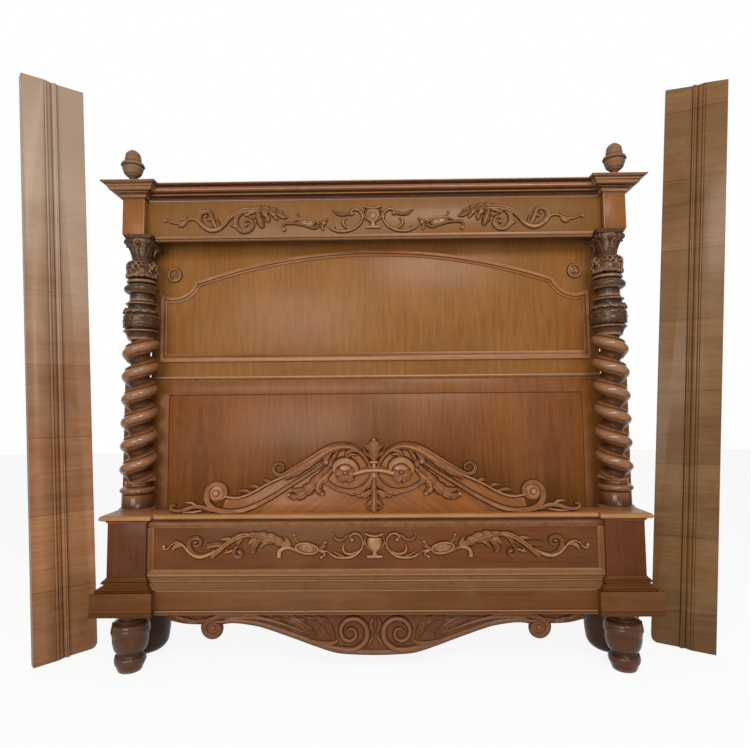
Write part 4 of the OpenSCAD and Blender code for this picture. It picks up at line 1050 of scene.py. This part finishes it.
def frieze_half(bm, at):
    """Left half of the frieze's scroll, which is longer and cut deeper than the footboard's"""
    cut, boss = partial(carve, bm, at), partial(dome, bm, at)
    boss(-724, 4, 7, 8)
    cut([(-724, 6), (-708, 1), (-690, -5), (-669, -5), (-648, 5), (-624, 9), (-605, -2),
        (-589, -20), (-566, -31), (-544, -30), (-526, -21)], [2, 3, 3.5, 4, 4, 4.5, 5, 6, 8, 8, 4],
        [5, 6, 7, 7, 8, 8, 8, 9, 9, 9, 7], steps=70)
    cut([(-648, 1), (-658, -8), (-669, -13), (-679, -4)], [3, 7, 7, 2], [5, 8, 8, 5], flutes=2,
        steps=24)
    cut([(-671, 3), (-658, 11), (-645, 16)], [1.5, 4, 1.5], [4, 6, 4], steps=18)
    cut([(-568, -25), (-592, -14), (-605, 6), (-600, 25), (-584, 33), (-568, 30), (-561, 18),
        (-567, 7), (-578, 5)], [4, 8, 9, 8, 7.5, 7, 6, 5, 3.5], [6, 10, 11, 12, 12, 12, 11, 10, 8],
        rims=0.5, steps=64)
    boss(-581, 18, 6, 9)
    cut([(-570, 26), (-559, 9), (-552, -10), (-544, -24)], [3, 6, 7, 4], [6, 9, 9, 7], flutes=2,
        steps=30)
    cut([(-542, 9), (-540, -7), (-534, -23)], [2, 6, 5], [5, 8, 7], vein=0.4, steps=24)
    cut([(-537, -31), (-521, -15), (-505, 6), (-486, 22), (-460, 33), (-431, 38), (-397, 38)], [5,
        8, 9, 10, 11, 11, 10], [8, 10, 11, 12, 12, 12, 11], flutes=2, flute=0.4, square=2.3,
        steps=56)
    cut([(-439, 37), (-407, 41), (-375, 38), (-344, 32), (-317, 21), (-299, 6)], [8, 13, 15, 14,
        10, 3], [10, 12, 12, 12, 10, 6], lobes=6, cut=0.42, flutes=4, flute=0.4, steps=66,
        around=28)
    cut([(-460, 25), (-475, 8), (-473, -19), (-455, -36), (-432, -35), (-418, -19), (-424, 0),
        (-439, 3), (-448, -7)], [5, 8, 8, 7.5, 7, 6.5, 5.5, 5, 4], [9, 11, 12, 12, 12, 11, 10, 10,
        9], rims=0.5, steps=64)
    boss(-440, -15, 7, 13)
    cut([(-472, -21), (-483, -19), (-494, -14)], [3, 4.5, 2], [7, 8, 5], steps=18)
    boss(-497, -13, 4, 7)
    cut([(-449, 28), (-439, 20), (-431, 25), (-412, 30)], [3, 5, 5, 4], [7, 9, 10, 8], steps=24)
    cut([(-401, 29), (-395, 7), (-387, -14), (-385, -27)], [8, 14, 12, 5], [10, 13, 13, 9],
        lobes=3, cut=0.35, flutes=3, flute=0.45, steps=40, around=26)
    cut([(-383, 27), (-367, 12), (-363, -7)], [7, 9, 4], [10, 12, 9], lobes=2, flutes=2, steps=30)
    cut([(-354, 28), (-341, 15), (-330, 1)], [6, 8, 3], [9, 11, 7], lobes=2, flutes=2, steps=28)
    cut([(-328, 21), (-312, 11), (-294, 10)], [5, 6, 2], [8, 9, 6], flutes=2, steps=24)
    cut([(-412, 7), (-424, 13), (-434, 20)], [2, 4, 2], [6, 8, 6], steps=16)
    boss(-309, -33, 8, 10)
    cut([(-312, -27), (-310, -15), (-294, -10), (-264, -12), (-233, -19), (-204, -28),
        (-183, -20)], [3, 4.5, 5, 5, 5, 5, 3], [7, 8, 9, 9, 9, 9, 7], vein=0.25, steps=54)
    cut([(-286, -8), (-262, 2), (-235, 5), (-209, -1), (-185, -14)], [2, 4, 4.5, 4.5, 3], [6, 9,
        10, 10, 8], steps=40)
    boss(-230, -9, 15, 7, tall=2.3, tilt=-10, steps=28)
    for x, z in ((-249, -3), (-226, -7), (-205, -13)):
        boss(x, z, 5, 11, tall=1.4, tilt=-20)
    boss(-262, 23, 5, 8)
    cut([(-262, 19), (-254, 12), (-243, 5)], [1.6, 2.2, 2.4], [4, 6, 6], steps=14)
    boss(-170, -13, 9, 12)
    cut([(-170, -10), (-165, 0), (-156, 4)], [3, 4.5, 2], [7, 9, 6], steps=18)
    cut([(-172, -17), (-176, -29), (-169, -38)], [3, 4.5, 2.5], [7, 9, 6], steps=18)
    cut([(-179, -1), (-181, -7), (-177, -14)], [2, 3, 2], [6, 8, 6], steps=14)
    boss(-159, -4, 3.5, 8)
    cut([(-161, -22), (-140, -34), (-117, -41), (-90, -40), (-66, -32), (-47, -17), (-36, 2),
        (-40, 23), (-55, 35), (-70, 34), (-76, 26)], [2, 4, 5, 5.2, 5, 4.6, 4.2, 4.4, 5, 5, 3.5],
        [6, 8, 8, 8, 8, 8, 8, 8, 9, 9, 8], steps=84, around=16)
    boss(-73, 21, 8, 11)
    cut([(-77, 20), (-92, 20), (-107, 18), (-123, 22), (-137, 33)], [4, 6, 5.5, 5, 2], [8, 9, 9, 8,
        5], vein=0.3, steps=36)
    boss(-139, 34, 3.5, 7)
    cut([(-74, -36), (-91, -28), (-103, -15), (-101, -2), (-90, 5)], [2, 4, 4.8, 4.2, 2], [6, 8, 8,
        8, 6], steps=34)
    cut([(-143, -35), (-135, -27), (-129, -21)], [2, 3, 1.5], [5, 7, 5], steps=14)
    boss(-33, 8, 4.5, 8)


def urn(bm, at, boss):
    """The urn in the middle; boss is the radius of a ball on its front, or 0"""
    cut = partial(carve, bm, at)
    cut([(-27, 43), (-14, 38), (0, 36), (14, 38), (27, 43)], [4, 4.5, 4.5, 4.5, 4], [8, 9, 9, 9,
        8], steps=28, around=14)
    cut([(0, 31), (0, 18), (0, 2), (0, -9)], [23, 25, 22, 11], [8, 10, 11, 8], square=2.6,
        steps=24, around=28)
    cut([(0, -7), (0, -14), (0, -22)], [9, 8, 12], [7, 7, 7], steps=14)
    cut([(-23, -25), (23, -25)], [4.5], [8], square=4, steps=10, around=14)
    for side in SIDES:
        cut([(side * 26, 34), (side * 30, 22), (side * 26, 8), (side * 18, -4)], [2.5, 3, 3, 2],
            [7, 8, 8, 6], steps=20, around=12)
    if boss:
        dome(bm, at, 0, 10, boss, 15, steps=28)


class BED_OT_scroll_bands(bpy.types.Operator):
    """Carve the scrolls of leaves on the frieze and on the footboard's panel"""
    bl_idname = "bed.scroll_bands"
    bl_label = "Scroll bands"

    def execute(self, context):
        for node, y, z, half, size, boss, finish in (
                ("frieze_carving", 43, 1449, frieze_half, 1.08, 17, "frieze_carving"),
                ("footboard_carving", FOOT_WALL, 369, scroll_half, 1.0, 0, "carving")):
            wall = on_wall(y)
            bm = bmesh.new()
            half(bm, raised(wall, z))
            at = lambda x, h, lift: wall(x * size, z + h * size, lift)
            add_mirror(bm)
            urn(bm, at, boss)
            finish_piece(bm, node + "_cut", finish, replaces=(node,), smooth=60)
        return {"FINISHED"}


# ---------- crest and apron ----------

def crest_half(bm, at):
    """Left half of the crest without its flower; heights are over the slab"""
    cut, boss = partial(carve, bm, at), partial(dome, bm, at)
    deep = dict(foot=-9)
    # end volute and the long band's two edges
    cut([(-395, 8), (-437, 6), (-464, 7), (-490, 13), (-509, 29), (-516, 52), (-510, 76),
        (-491, 90), (-470, 87), (-457, 72), (-459, 54), (-472, 43)], [6, 7, 8, 9, 9, 9, 8, 7.5, 7,
        6.5, 6, 4], [11, 12, 12, 13, 14, 14, 14, 14, 13, 12, 11, 9], rims=0.4, steps=80, **deep)
    boss(-486, 62, 27, 6, foot=-9, steps=30)
    boss(-486, 62, 12.5, 15, steps=24)
    cut([(-440, 8), (-409, 9), (-375, 19), (-348, 32), (-313, 50), (-279, 71), (-245, 92),
        (-211, 113), (-183, 131), (-159, 147), (-147, 155)], [5, 8, 8, 7.5, 7, 6.5, 6, 5.5, 5, 5,
        6], [10, 13, 13, 13, 13, 13, 13, 13, 13, 13, 13], flutes=2, flute=0.25, steps=70)
    boss(-147, 155, 9.5, 17)
    cut([(-460, 53), (-430, 48), (-406, 51), (-382, 60), (-362, 70), (-334, 86), (-307, 99),
        (-283, 109), (-250, 122)], [4, 4.5, 4.5, 4.5, 4.5, 4.5, 4.5, 4.5, 3], [11, 12, 12, 12, 12,
        12, 12, 12, 10], steps=60, **deep)
    # sprigs on the upper edge
    for line in ([(-371, 62), (-398, 69), (-425, 66)], [(-348, 74), (-368, 83), (-388, 80)],
            [(-314, 92), (-330, 99), (-345, 95)]):
        cut(line, [3, 6, 1.5], [8, 11, 7], vein=0.35, steps=20, **deep)
    # curl above the band
    cut([(-132, 199), (-163, 185), (-190, 168), (-218, 152), (-245, 137), (-266, 125), (-285, 117),
        (-302, 120), (-310, 133), (-304, 147), (-290, 151), (-279, 143), (-280, 132), (-290, 129)],
        [8, 10, 9, 8, 7, 6.5, 6.5, 6.5, 6, 5.5, 5, 4.5, 4, 3], [12, 14, 14, 14, 14, 14, 14, 14, 14,
        14, 14, 14, 14, 13], flutes=2, flute=0.4, steps=90, **deep)
    # leaf that sweeps over the ring
    cut([(-285, 109), (-245, 127), (-211, 146), (-176, 168), (-149, 186), (-121, 198), (-90, 203),
        (-63, 197), (-39, 181), (-22, 160), (-11, 138)], [4, 9, 13, 15, 16, 15, 12, 9.5, 8, 7, 6],
        [9, 13, 14, 15, 16, 16, 16, 15, 14, 13, 12], flutes=4, flute=0.4, steps=90, around=30,
        **deep)
    for line, half in (([(-178, 160), (-198, 145), (-223, 131)], 8.5), ([(-213, 133), (-231, 123),
            (-252, 113)], 7.5), ([(-130, 182), (-146, 165), (-157, 149)], 7.5), ([(-108, 190),
            (-122, 172), (-128, 156)], 6.5), ([(-243, 121), (-258, 112), (-274, 104)], 5.5)):
        cut(line, [3, half, half * 0.7], [12, 18, 17], vein=0.25, steps=22)
    cut([(-46, 186), (-68, 189), (-84, 180), (-84, 166)], [3, 6.5, 6, 3.5], [12, 15, 15, 13],
        flutes=2, steps=26)
    cut([(-52, 176), (-70, 178), (-80, 170)], [2, 4, 3], [10, 12, 11], steps=18)
    # lower arc of the ring
    cut([(-158, 120), (-142, 93), (-116, 75), (-83, 67), (-51, 70), (-27, 83), (-12, 101),
        (-3, 124)], [5, 6, 6.5, 6.5, 6, 6, 6, 6], [11, 12, 12, 12, 12, 12, 12, 12], rims=0.45,
        steps=60)
    # fronds
    cut([(-137, 142), (-160, 119), (-182, 94), (-203, 72), (-224, 56), (-246, 50), (-266, 58)], [6,
        12, 17, 19, 16, 12, 6], [10, 13, 15, 16, 16, 16, 15], lobes=5, cut=0.4, flutes=3,
        flute=0.4, steps=64, around=28)
    boss(-262, 57, 7, 17, tall=1.3, tilt=20)
    cut([(-216, 72), (-238, 68), (-254, 72)], [6, 8, 4], [12, 15, 14], vein=0.3, steps=20)
    cut([(-125, 136), (-148, 112), (-168, 92), (-173, 72), (-156, 58)], [5, 11, 15, 13, 7], [9, 12,
        14, 15, 14], lobes=4, cut=0.4, flutes=3, flute=0.4, steps=50, around=26)
    boss(-158, 58, 6, 16, tall=1.3)
    cut([(-138, 118), (-150, 98), (-140, 84)], [4, 7, 4], [10, 13, 12], flutes=2, steps=22)
    # bar, fringe below the ring, and the leaf that hangs in the middle
    cut([(-60, 119), (-29, 127), (2, 130)], [6.5, 6.5, 6.5], [13, 14, 14], square=3.2, steps=24)
    cut([(-44, 131), (-20, 137), (2, 139)], [2.5], [10], steps=16, around=12)
    cut([(-11, 89), (-30, 73), (-48, 63), (-66, 59), (-88, 63)], [3, 7, 8, 7, 1.5], [9, 12, 13, 12,
        8], flutes=2, flute=0.4, lobes=3, cut=0.25, steps=36)
    cut([(-10, 66), (-28, 60), (-42, 52), (-58, 52)], [3, 7, 7, 2], [9, 12, 12, 8], lobes=3,
        cut=0.3, vein=0.3, steps=28)
    for line, half in (([(-4, 96), (-16, 81), (-26, 76)], 6), ([(-4, 68), (-18, 61), (-31, 47)],
            9.5), ([(-4, 40), (-14, 32), (-23, 20)], 7), ([(-2, 22), (-14, 14), (-23, 20)], 5)):
        cut(line, [3, half, half * 0.7], [13, 16, 16], vein=0.3, steps=22)
    # palmette
    for line, half in (([(-3, 166), (-10, 186), (-20, 200), (-30, 206)], 6.5), ([(-3, 174),
            (-9, 198), (-17, 213)], 7), ([(-3, 160), (-12, 172), (-23, 179), (-31, 190)], 6)):
        cut(line, [3.5, half, half, half * 0.65], [10, 14, 15, 14], vein=0.35, steps=26, **deep)
    # little scroll at the end
    cut([(-478, 6), (-505, 12), (-532, 21), (-560, 20), (-588, 11), (-610, 9), (-625, 16),
        (-622, 26), (-611, 24)], [4, 6, 7, 7, 6, 5, 4.5, 4, 3], [8, 10, 11, 11, 11, 11, 11, 11,
        10], flutes=2, flute=0.35, steps=60, **deep)
    cut([(-530, 10), (-556, 5), (-590, 4)], [3, 4.5, 2], [7, 8, 6], steps=20)
    cut([(-544, 22), (-560, 33), (-580, 34)], [3, 5, 1.5], [8, 10, 7], steps=18, **deep)


def flower(bm, at, x, z, petals):
    """Open flower under a hood; petals are (angle, reach, half width)"""
    cut, boss = partial(carve, bm, at), partial(dome, bm, at)
    cut([(x - 35, z + 2), (x - 30, z + 23), (x - 8, z + 36), (x + 16, z + 32), (x + 33, z + 14), (x
        + 34, z - 3)], [5, 11, 13, 12, 10, 5], [14, 20, 23, 22, 19, 14], flutes=2, flute=0.2,
        steps=44, around=24)
    boss(x, z, 30, 8, steps=30)
    for angle, reach, half in petals:
        petal(bm, at, x, z, angle, reach, half, 14, base=4)
    boss(x, z, 6.5, 20)
    for angle in range(0, 360, 60):
        dx, dz = 8 * math.cos(math.radians(angle)), 8 * math.sin(math.radians(angle))
        boss(x + dx, z + dz, 2.6, 15, steps=10)


class BED_OT_crest(bpy.types.Operator):
    """Carve the footboard's crest"""
    bl_idname = "bed.crest"
    bl_label = "Crest"

    def execute(self, context):
        at = raised(on_wall(FOOT_WALL), SLAB_TOP)
        bm = bmesh.new()
        cut, boss = partial(carve, bm, at), partial(dome, bm, at)
        crest_half(bm, at)
        add_mirror(bm)
        flower(bm, at, -88, 122, ((175, 31, 13), (5, 31, 13), (232, 33, 13), (308, 33, 13),
                                  (270, 27, 16)))
        flower(bm, at, 84, 123, ((188, 30, 12), (-8, 30, 12), (234, 32, 17), (306, 32, 17)))
        cut([(0, 106), (-1, 78), (0, 52), (-1, 26), (0, 5)], [8, 10, 11, 14, 9], [15, 17, 18, 18,
            13], flutes=3, flute=0.35, steps=50, around=26)
        cut([(0, 158), (0, 178), (0, 203), (0, 224)], [8, 14, 18, 8], [11, 15, 17, 15], flutes=3,
            flute=0.35, lobes=2, cut=0.12, foot=-9, steps=40, around=28)
        boss(0, 222, 7, 17, foot=-9)
        cut([(-12, 154), (12, 154)], [4.5], [16], square=3, foot=-9, steps=12)
        cut([(0, 152), (0, 136)], [8, 7], [12], steps=12, foot=-9)
        cut([(0, 122), (0, 108)], [4, 10], [10], steps=12)
        finish_piece(bm, "crest_cut", "crest", replaces=("crest_carving",), smooth=60)
        return {"FINISHED"}


APRON_X = (0, -65, -100, -169, -261, -332, -400, -440, -469, -528, -580, -624)
APRON_EDGE = (57, 59, 62, 82, 114, 136, 148, 150, 146, 147, 150, 160)


class BED_OT_apron(bpy.types.Operator):
    """Saw out and carve the shaped apron"""
    bl_idname = "bed.apron"
    bl_label = "Apron"

    def board(self, bm):
        """The sawn board: a closed sleeve whose lower edge follows the outline"""
        layer = relief_layer(bm)
        made = bmesh.ops.create_grid(bm, x_segments=160, y_segments=4, size=0.5)["verts"]
        for vert in made:
            share, corner = abs(vert.co.x) * 2, round((vert.co.y + 0.5) * 4) % 4
            x, edge = glide(APRON_X, share), glide(APRON_EDGE, share)
            y, z = ((APRON_WALL, edge), (APRON_WALL, 182), (-104, 182), (-104, edge))[corner]
            vert.co = Vector((x if vert.co.x < 0 else -x, y, z)) * T
            vert[layer] = 0.5
        bmesh.ops.remove_doubles(bm, verts=made, dist=1e-6)

    def execute(self, context):
        bm = bmesh.new()
        at = on_wall(APRON_WALL)
        cut, boss = partial(carve, bm, at), partial(dome, bm, at)
        cut([(-516, 152), (-461, 155), (-419, 158), (-350, 149), (-263, 121), (-176, 90),
            (-117, 72), (-65, 67), (0, 65)], [3, 5, 6, 7, 7, 7, 7, 7, 7], [3, 4, 5, 5, 5, 5, 5, 5,
            5], steps=90, around=14)
        cut([(-351, 174), (-394, 175), (-436, 174), (-470, 170), (-499, 161), (-515, 144),
            (-512, 125), (-498, 114), (-481, 115), (-469, 127), (-471, 143), (-484, 150),
            (-496, 144), (-498, 134), (-491, 129)], [3, 6, 7, 8, 8.5, 8.5, 8.5, 8, 7.5, 7, 6, 5, 4,
            3.5, 3], [4, 6, 7, 8, 9, 9, 9, 9, 9, 9, 9, 9, 9, 9, 8], rims=0.2, foot=-16, steps=90,
            around=22)
        boss(-490, 136, 22, 4, foot=-16, steps=28)
        boss(-489, 137, 9, 9)
        whorl = ((-125, 56), (-95, 50), (-60, 50), (-20, 53), (20, 52), (60, 46), (100, 38),
                (140, 31), (180, 26), (230, 24), (280, 23), (330, 21), (380, 18), (430, 14),
                (480, 10), (520, 7))
        cut([(-170, 96), (-140, 82)] + [(-77 + r * math.cos(math.radians(a)), 122 + r *
            math.sin(math.radians(a))) for a, r in whorl], [4, 7, 9, 9, 9, 8.5, 8, 7.5, 7, 6.5, 6,
            5, 4, 3.5], [4, 7, 9, 10, 10, 10, 10, 9, 9, 9, 9, 8], steps=140, around=18)
        cut([(-225, 106), (-190, 98), (-160, 92), (-130, 92), (-112, 100)], [3, 6, 7, 7, 5], [4, 6,
            7, 7, 6], flutes=2, steps=44)
        for shift, reach in ((0, 1.0), (7, 0.86), (14, 0.7), (21, 0.55)):
            cut([(-455, 170 - shift * 0.3), (-455 + 70 * reach, 168 - shift * 0.2), (-455 + 150 *
                reach, 156 - shift * 0.1 + shift), (-455 + 240 * reach, 124 + shift * 1.6)], [2,
                4.5, 5, 2], [4, 5.5, 5.5, 3], steps=44, around=12)
        cut([(-310, 168), (-262, 164), (-225, 148), (-196, 124), (-180, 108)], [5, 14, 18, 14, 6],
            [3, 5, 6, 6, 4], lobes=5, cut=0.4, flutes=4, flute=0.6, steps=60, around=28)
        cut([(-212, 170), (-172, 164), (-143, 144), (-128, 112), (-126, 96)], [4, 11, 13, 9, 4],
            [3, 5, 6, 6, 4], lobes=4, cut=0.4, flutes=3, flute=0.6, steps=48, around=24)
        cut([(-498, 164), (-525, 157), (-554, 157), (-580, 164), (-604, 172), (-620, 169),
            (-618, 160)], [4, 7, 7.5, 7.5, 6.5, 5.5, 3], [4, 6, 7, 7, 7, 7, 6], flutes=2,
            flute=0.4, lobes=4, cut=0.2, foot=-16, steps=60)
        cut([(-6, 167), (-13, 150), (-10, 132), (-3, 118)], [3, 6, 6, 2], [4, 6, 6, 4], vein=0.3,
            steps=24)
        cut([(-4, 110), (-13, 101), (-20, 88)], [2, 5, 3], [4, 6, 5], steps=18)
        add_mirror(bm)
        self.board(bm)
        finish_piece(bm, "apron_cut", "apron", replaces=("apron",), smooth=50)
        return {"FINISHED"}


class BED_OT_rosettes(bpy.types.Operator):
    """Carve the two rosettes in the panel's corners"""
    bl_idname = "bed.rosettes"
    bl_label = "Rosettes"

    def execute(self, context):
        bm = bmesh.new()
        at = on_wall(128)
        ring = [(-720 + 22 * math.cos(a), 1282 + 22 * math.sin(a))
                for a in (i * math.pi / 8 for i in range(17))]
        carve(bm, at, ring, [4.5], [8], steps=56, around=16)
        dome(bm, at, -720, 1282, 20, 3, steps=30)
        for angle in (90, 210, 330):
            petal(bm, at, -720, 1282, angle, 13, 8, 7, base=3, cup=0.1)
        dome(bm, at, -720, 1282, 7, 12)
        add_mirror(bm)
        finish_piece(bm, "rosettes_cut", "frieze_carving", replaces=("spandrel_rosettes",),
                     smooth=60)
        return {"FINISHED"}


# ---------- stage ----------

CAMERA_PLACE = (0.0033, -1.808, 0.7832)
CAMERA_TURN = (0.76, 3.96, 0.48)  # yaw, pitch and roll in degrees
FLOOR_DROP = 0.0005
FLOOR_GLOW = 0.88  # the rest of the floor's brightness is lamp light, which shows the shadow


class BED_OT_stage(bpy.types.Operator):
    """Place the camera, the lamps and the pale floor"""
    bl_idname = "bed.stage"
    bl_label = "Stage"

    def execute(self, context):
        scene = context.scene
        s = scene.bed_stage
        scene.view_settings.view_transform = "Standard"
        yaw, pitch, roll = (math.radians(a) for a in CAMERA_TURN)
        ahead = Vector((-math.sin(yaw) * math.cos(pitch), math.cos(yaw) * math.cos(pitch),
                        math.sin(pitch)))
        right = Vector((math.cos(yaw), math.sin(yaw), 0))
        up = right.cross(ahead)
        across = right * math.cos(roll) - up * math.sin(roll)
        above = right * math.sin(roll) + up * math.cos(roll)
        data = bpy.data.cameras.new("Camera")
        data.lens, data.sensor_width, data.sensor_fit = s.lens, SENSOR, "HORIZONTAL"
        data.clip_end = 50
        camera = bpy.data.objects.new("Camera", data)
        turn = Matrix((across, above, -ahead)).transposed().to_4x4()
        camera.matrix_world = Matrix.Translation(CAMERA_PLACE) @ turn
        scene.collection.objects.link(camera)
        scene.camera = camera

        def lamp(name, place, aim, size, power):
            light = bpy.data.lights.new(name, "AREA")
            light.shape, light.size, light.size_y = "RECTANGLE", size[0], size[1]
            light.energy = power
            light.color = (1.0, 0.93, 0.84)
            item = bpy.data.objects.new(name, light)
            item.matrix_world = (Matrix.Translation(place) @
                                 (Vector(aim) - Vector(place)).to_track_quat("-Z", "Y")
                                 .to_matrix().to_4x4())
            scene.collection.objects.link(item)

        lamp("Key lamp", (0.9, -3.6, 2.9), (0, 0, 0.95), (1.8, 1.2), s.key)
        lamp("Fill lamp", (-1.3, -3.6, 1.3), (0, 0, 1.0), (2.0, 1.4), s.fill)

        world = bpy.data.worlds.new("Studio")
        scene.world = world
        t = cleared(world)
        even = t.put(t.add("Background"), {"Color": (1.0, 0.95, 0.88), "Strength": s.sky})
        white = t.put(t.add("Background"), {"Color": (1, 1, 1), "Strength": 1.0})
        choice = t.put(t.add("MixShader"), {0: t.seen(), 1: even.outputs[0], 2: white.outputs[0]})
        t.put(t.add("OutputWorld"), {"Surface": choice.outputs[0]})

        bm = bmesh.new()
        bmesh.ops.create_grid(bm, x_segments=1, y_segments=1, size=9)
        bmesh.ops.translate(bm, vec=(0, 0, -FLOOR_DROP), verts=bm.verts)
        mesh = bpy.data.meshes.new("Floor")
        bm.to_mesh(mesh)
        bm.free()
        floor = bpy.data.objects.new("Floor", mesh)
        scene.collection.objects.link(floor)
        mat = bpy.data.materials.new("Pale floor")
        t = cleared(mat)
        matt = t.put(t.add("BsdfDiffuse"), {"Color": (0.80, 0.84, 0.89)})
        glow = t.put(t.add("Emission"), {"Color": (1, 1, 1), "Strength": 1.0})
        share = t.math("MULTIPLY", t.seen(), FLOOR_GLOW)
        choice = t.put(t.add("MixShader"), {0: share, 1: matt.outputs[0], 2: glow.outputs[0]})
        t.put(t.add("OutputMaterial"), {"Surface": choice.outputs[0]})
        mesh.materials.append(mat)
        return {"FINISHED"}


# ---------- the add-on ----------

OPERATORS = (BED_OT_finishes, BED_OT_joinery, BED_OT_columns, BED_OT_feet, BED_OT_finials,
             BED_OT_scroll_bands, BED_OT_crest, BED_OT_apron, BED_OT_rosettes, BED_OT_stage)


class BED_PT_panel(bpy.types.Panel):
    """Lists the steps that make the bed"""
    bl_label = "Bed"
    bl_idname = "BED_PT_panel"
    bl_space_type = "VIEW_3D"
    bl_region_type = "UI"
    bl_category = "Bed"

    def draw(self, context):
        for operator in OPERATORS:
            self.layout.operator(operator.bl_idname)


SETTINGS = {"bed_sizes": BedSizes, "bed_wood": BedWood, "bed_stage": BedStage}
CLASSES = (*SETTINGS.values(), *OPERATORS, BED_PT_panel)


def register():
    for cls in CLASSES:
        bpy.utils.register_class(cls)
    for name, cls in SETTINGS.items():
        setattr(bpy.types.Scene, name, bpy.props.PointerProperty(type=cls))


def unregister():
    for name in SETTINGS:
        delattr(bpy.types.Scene, name)
    for cls in reversed(CLASSES):
        bpy.utils.unregister_class(cls)


def main():
    register()
    for operator in OPERATORS:
        getattr(bpy.ops.bed, operator.bl_idname.split(".")[1])()


if __name__ == "__main__":
    main()
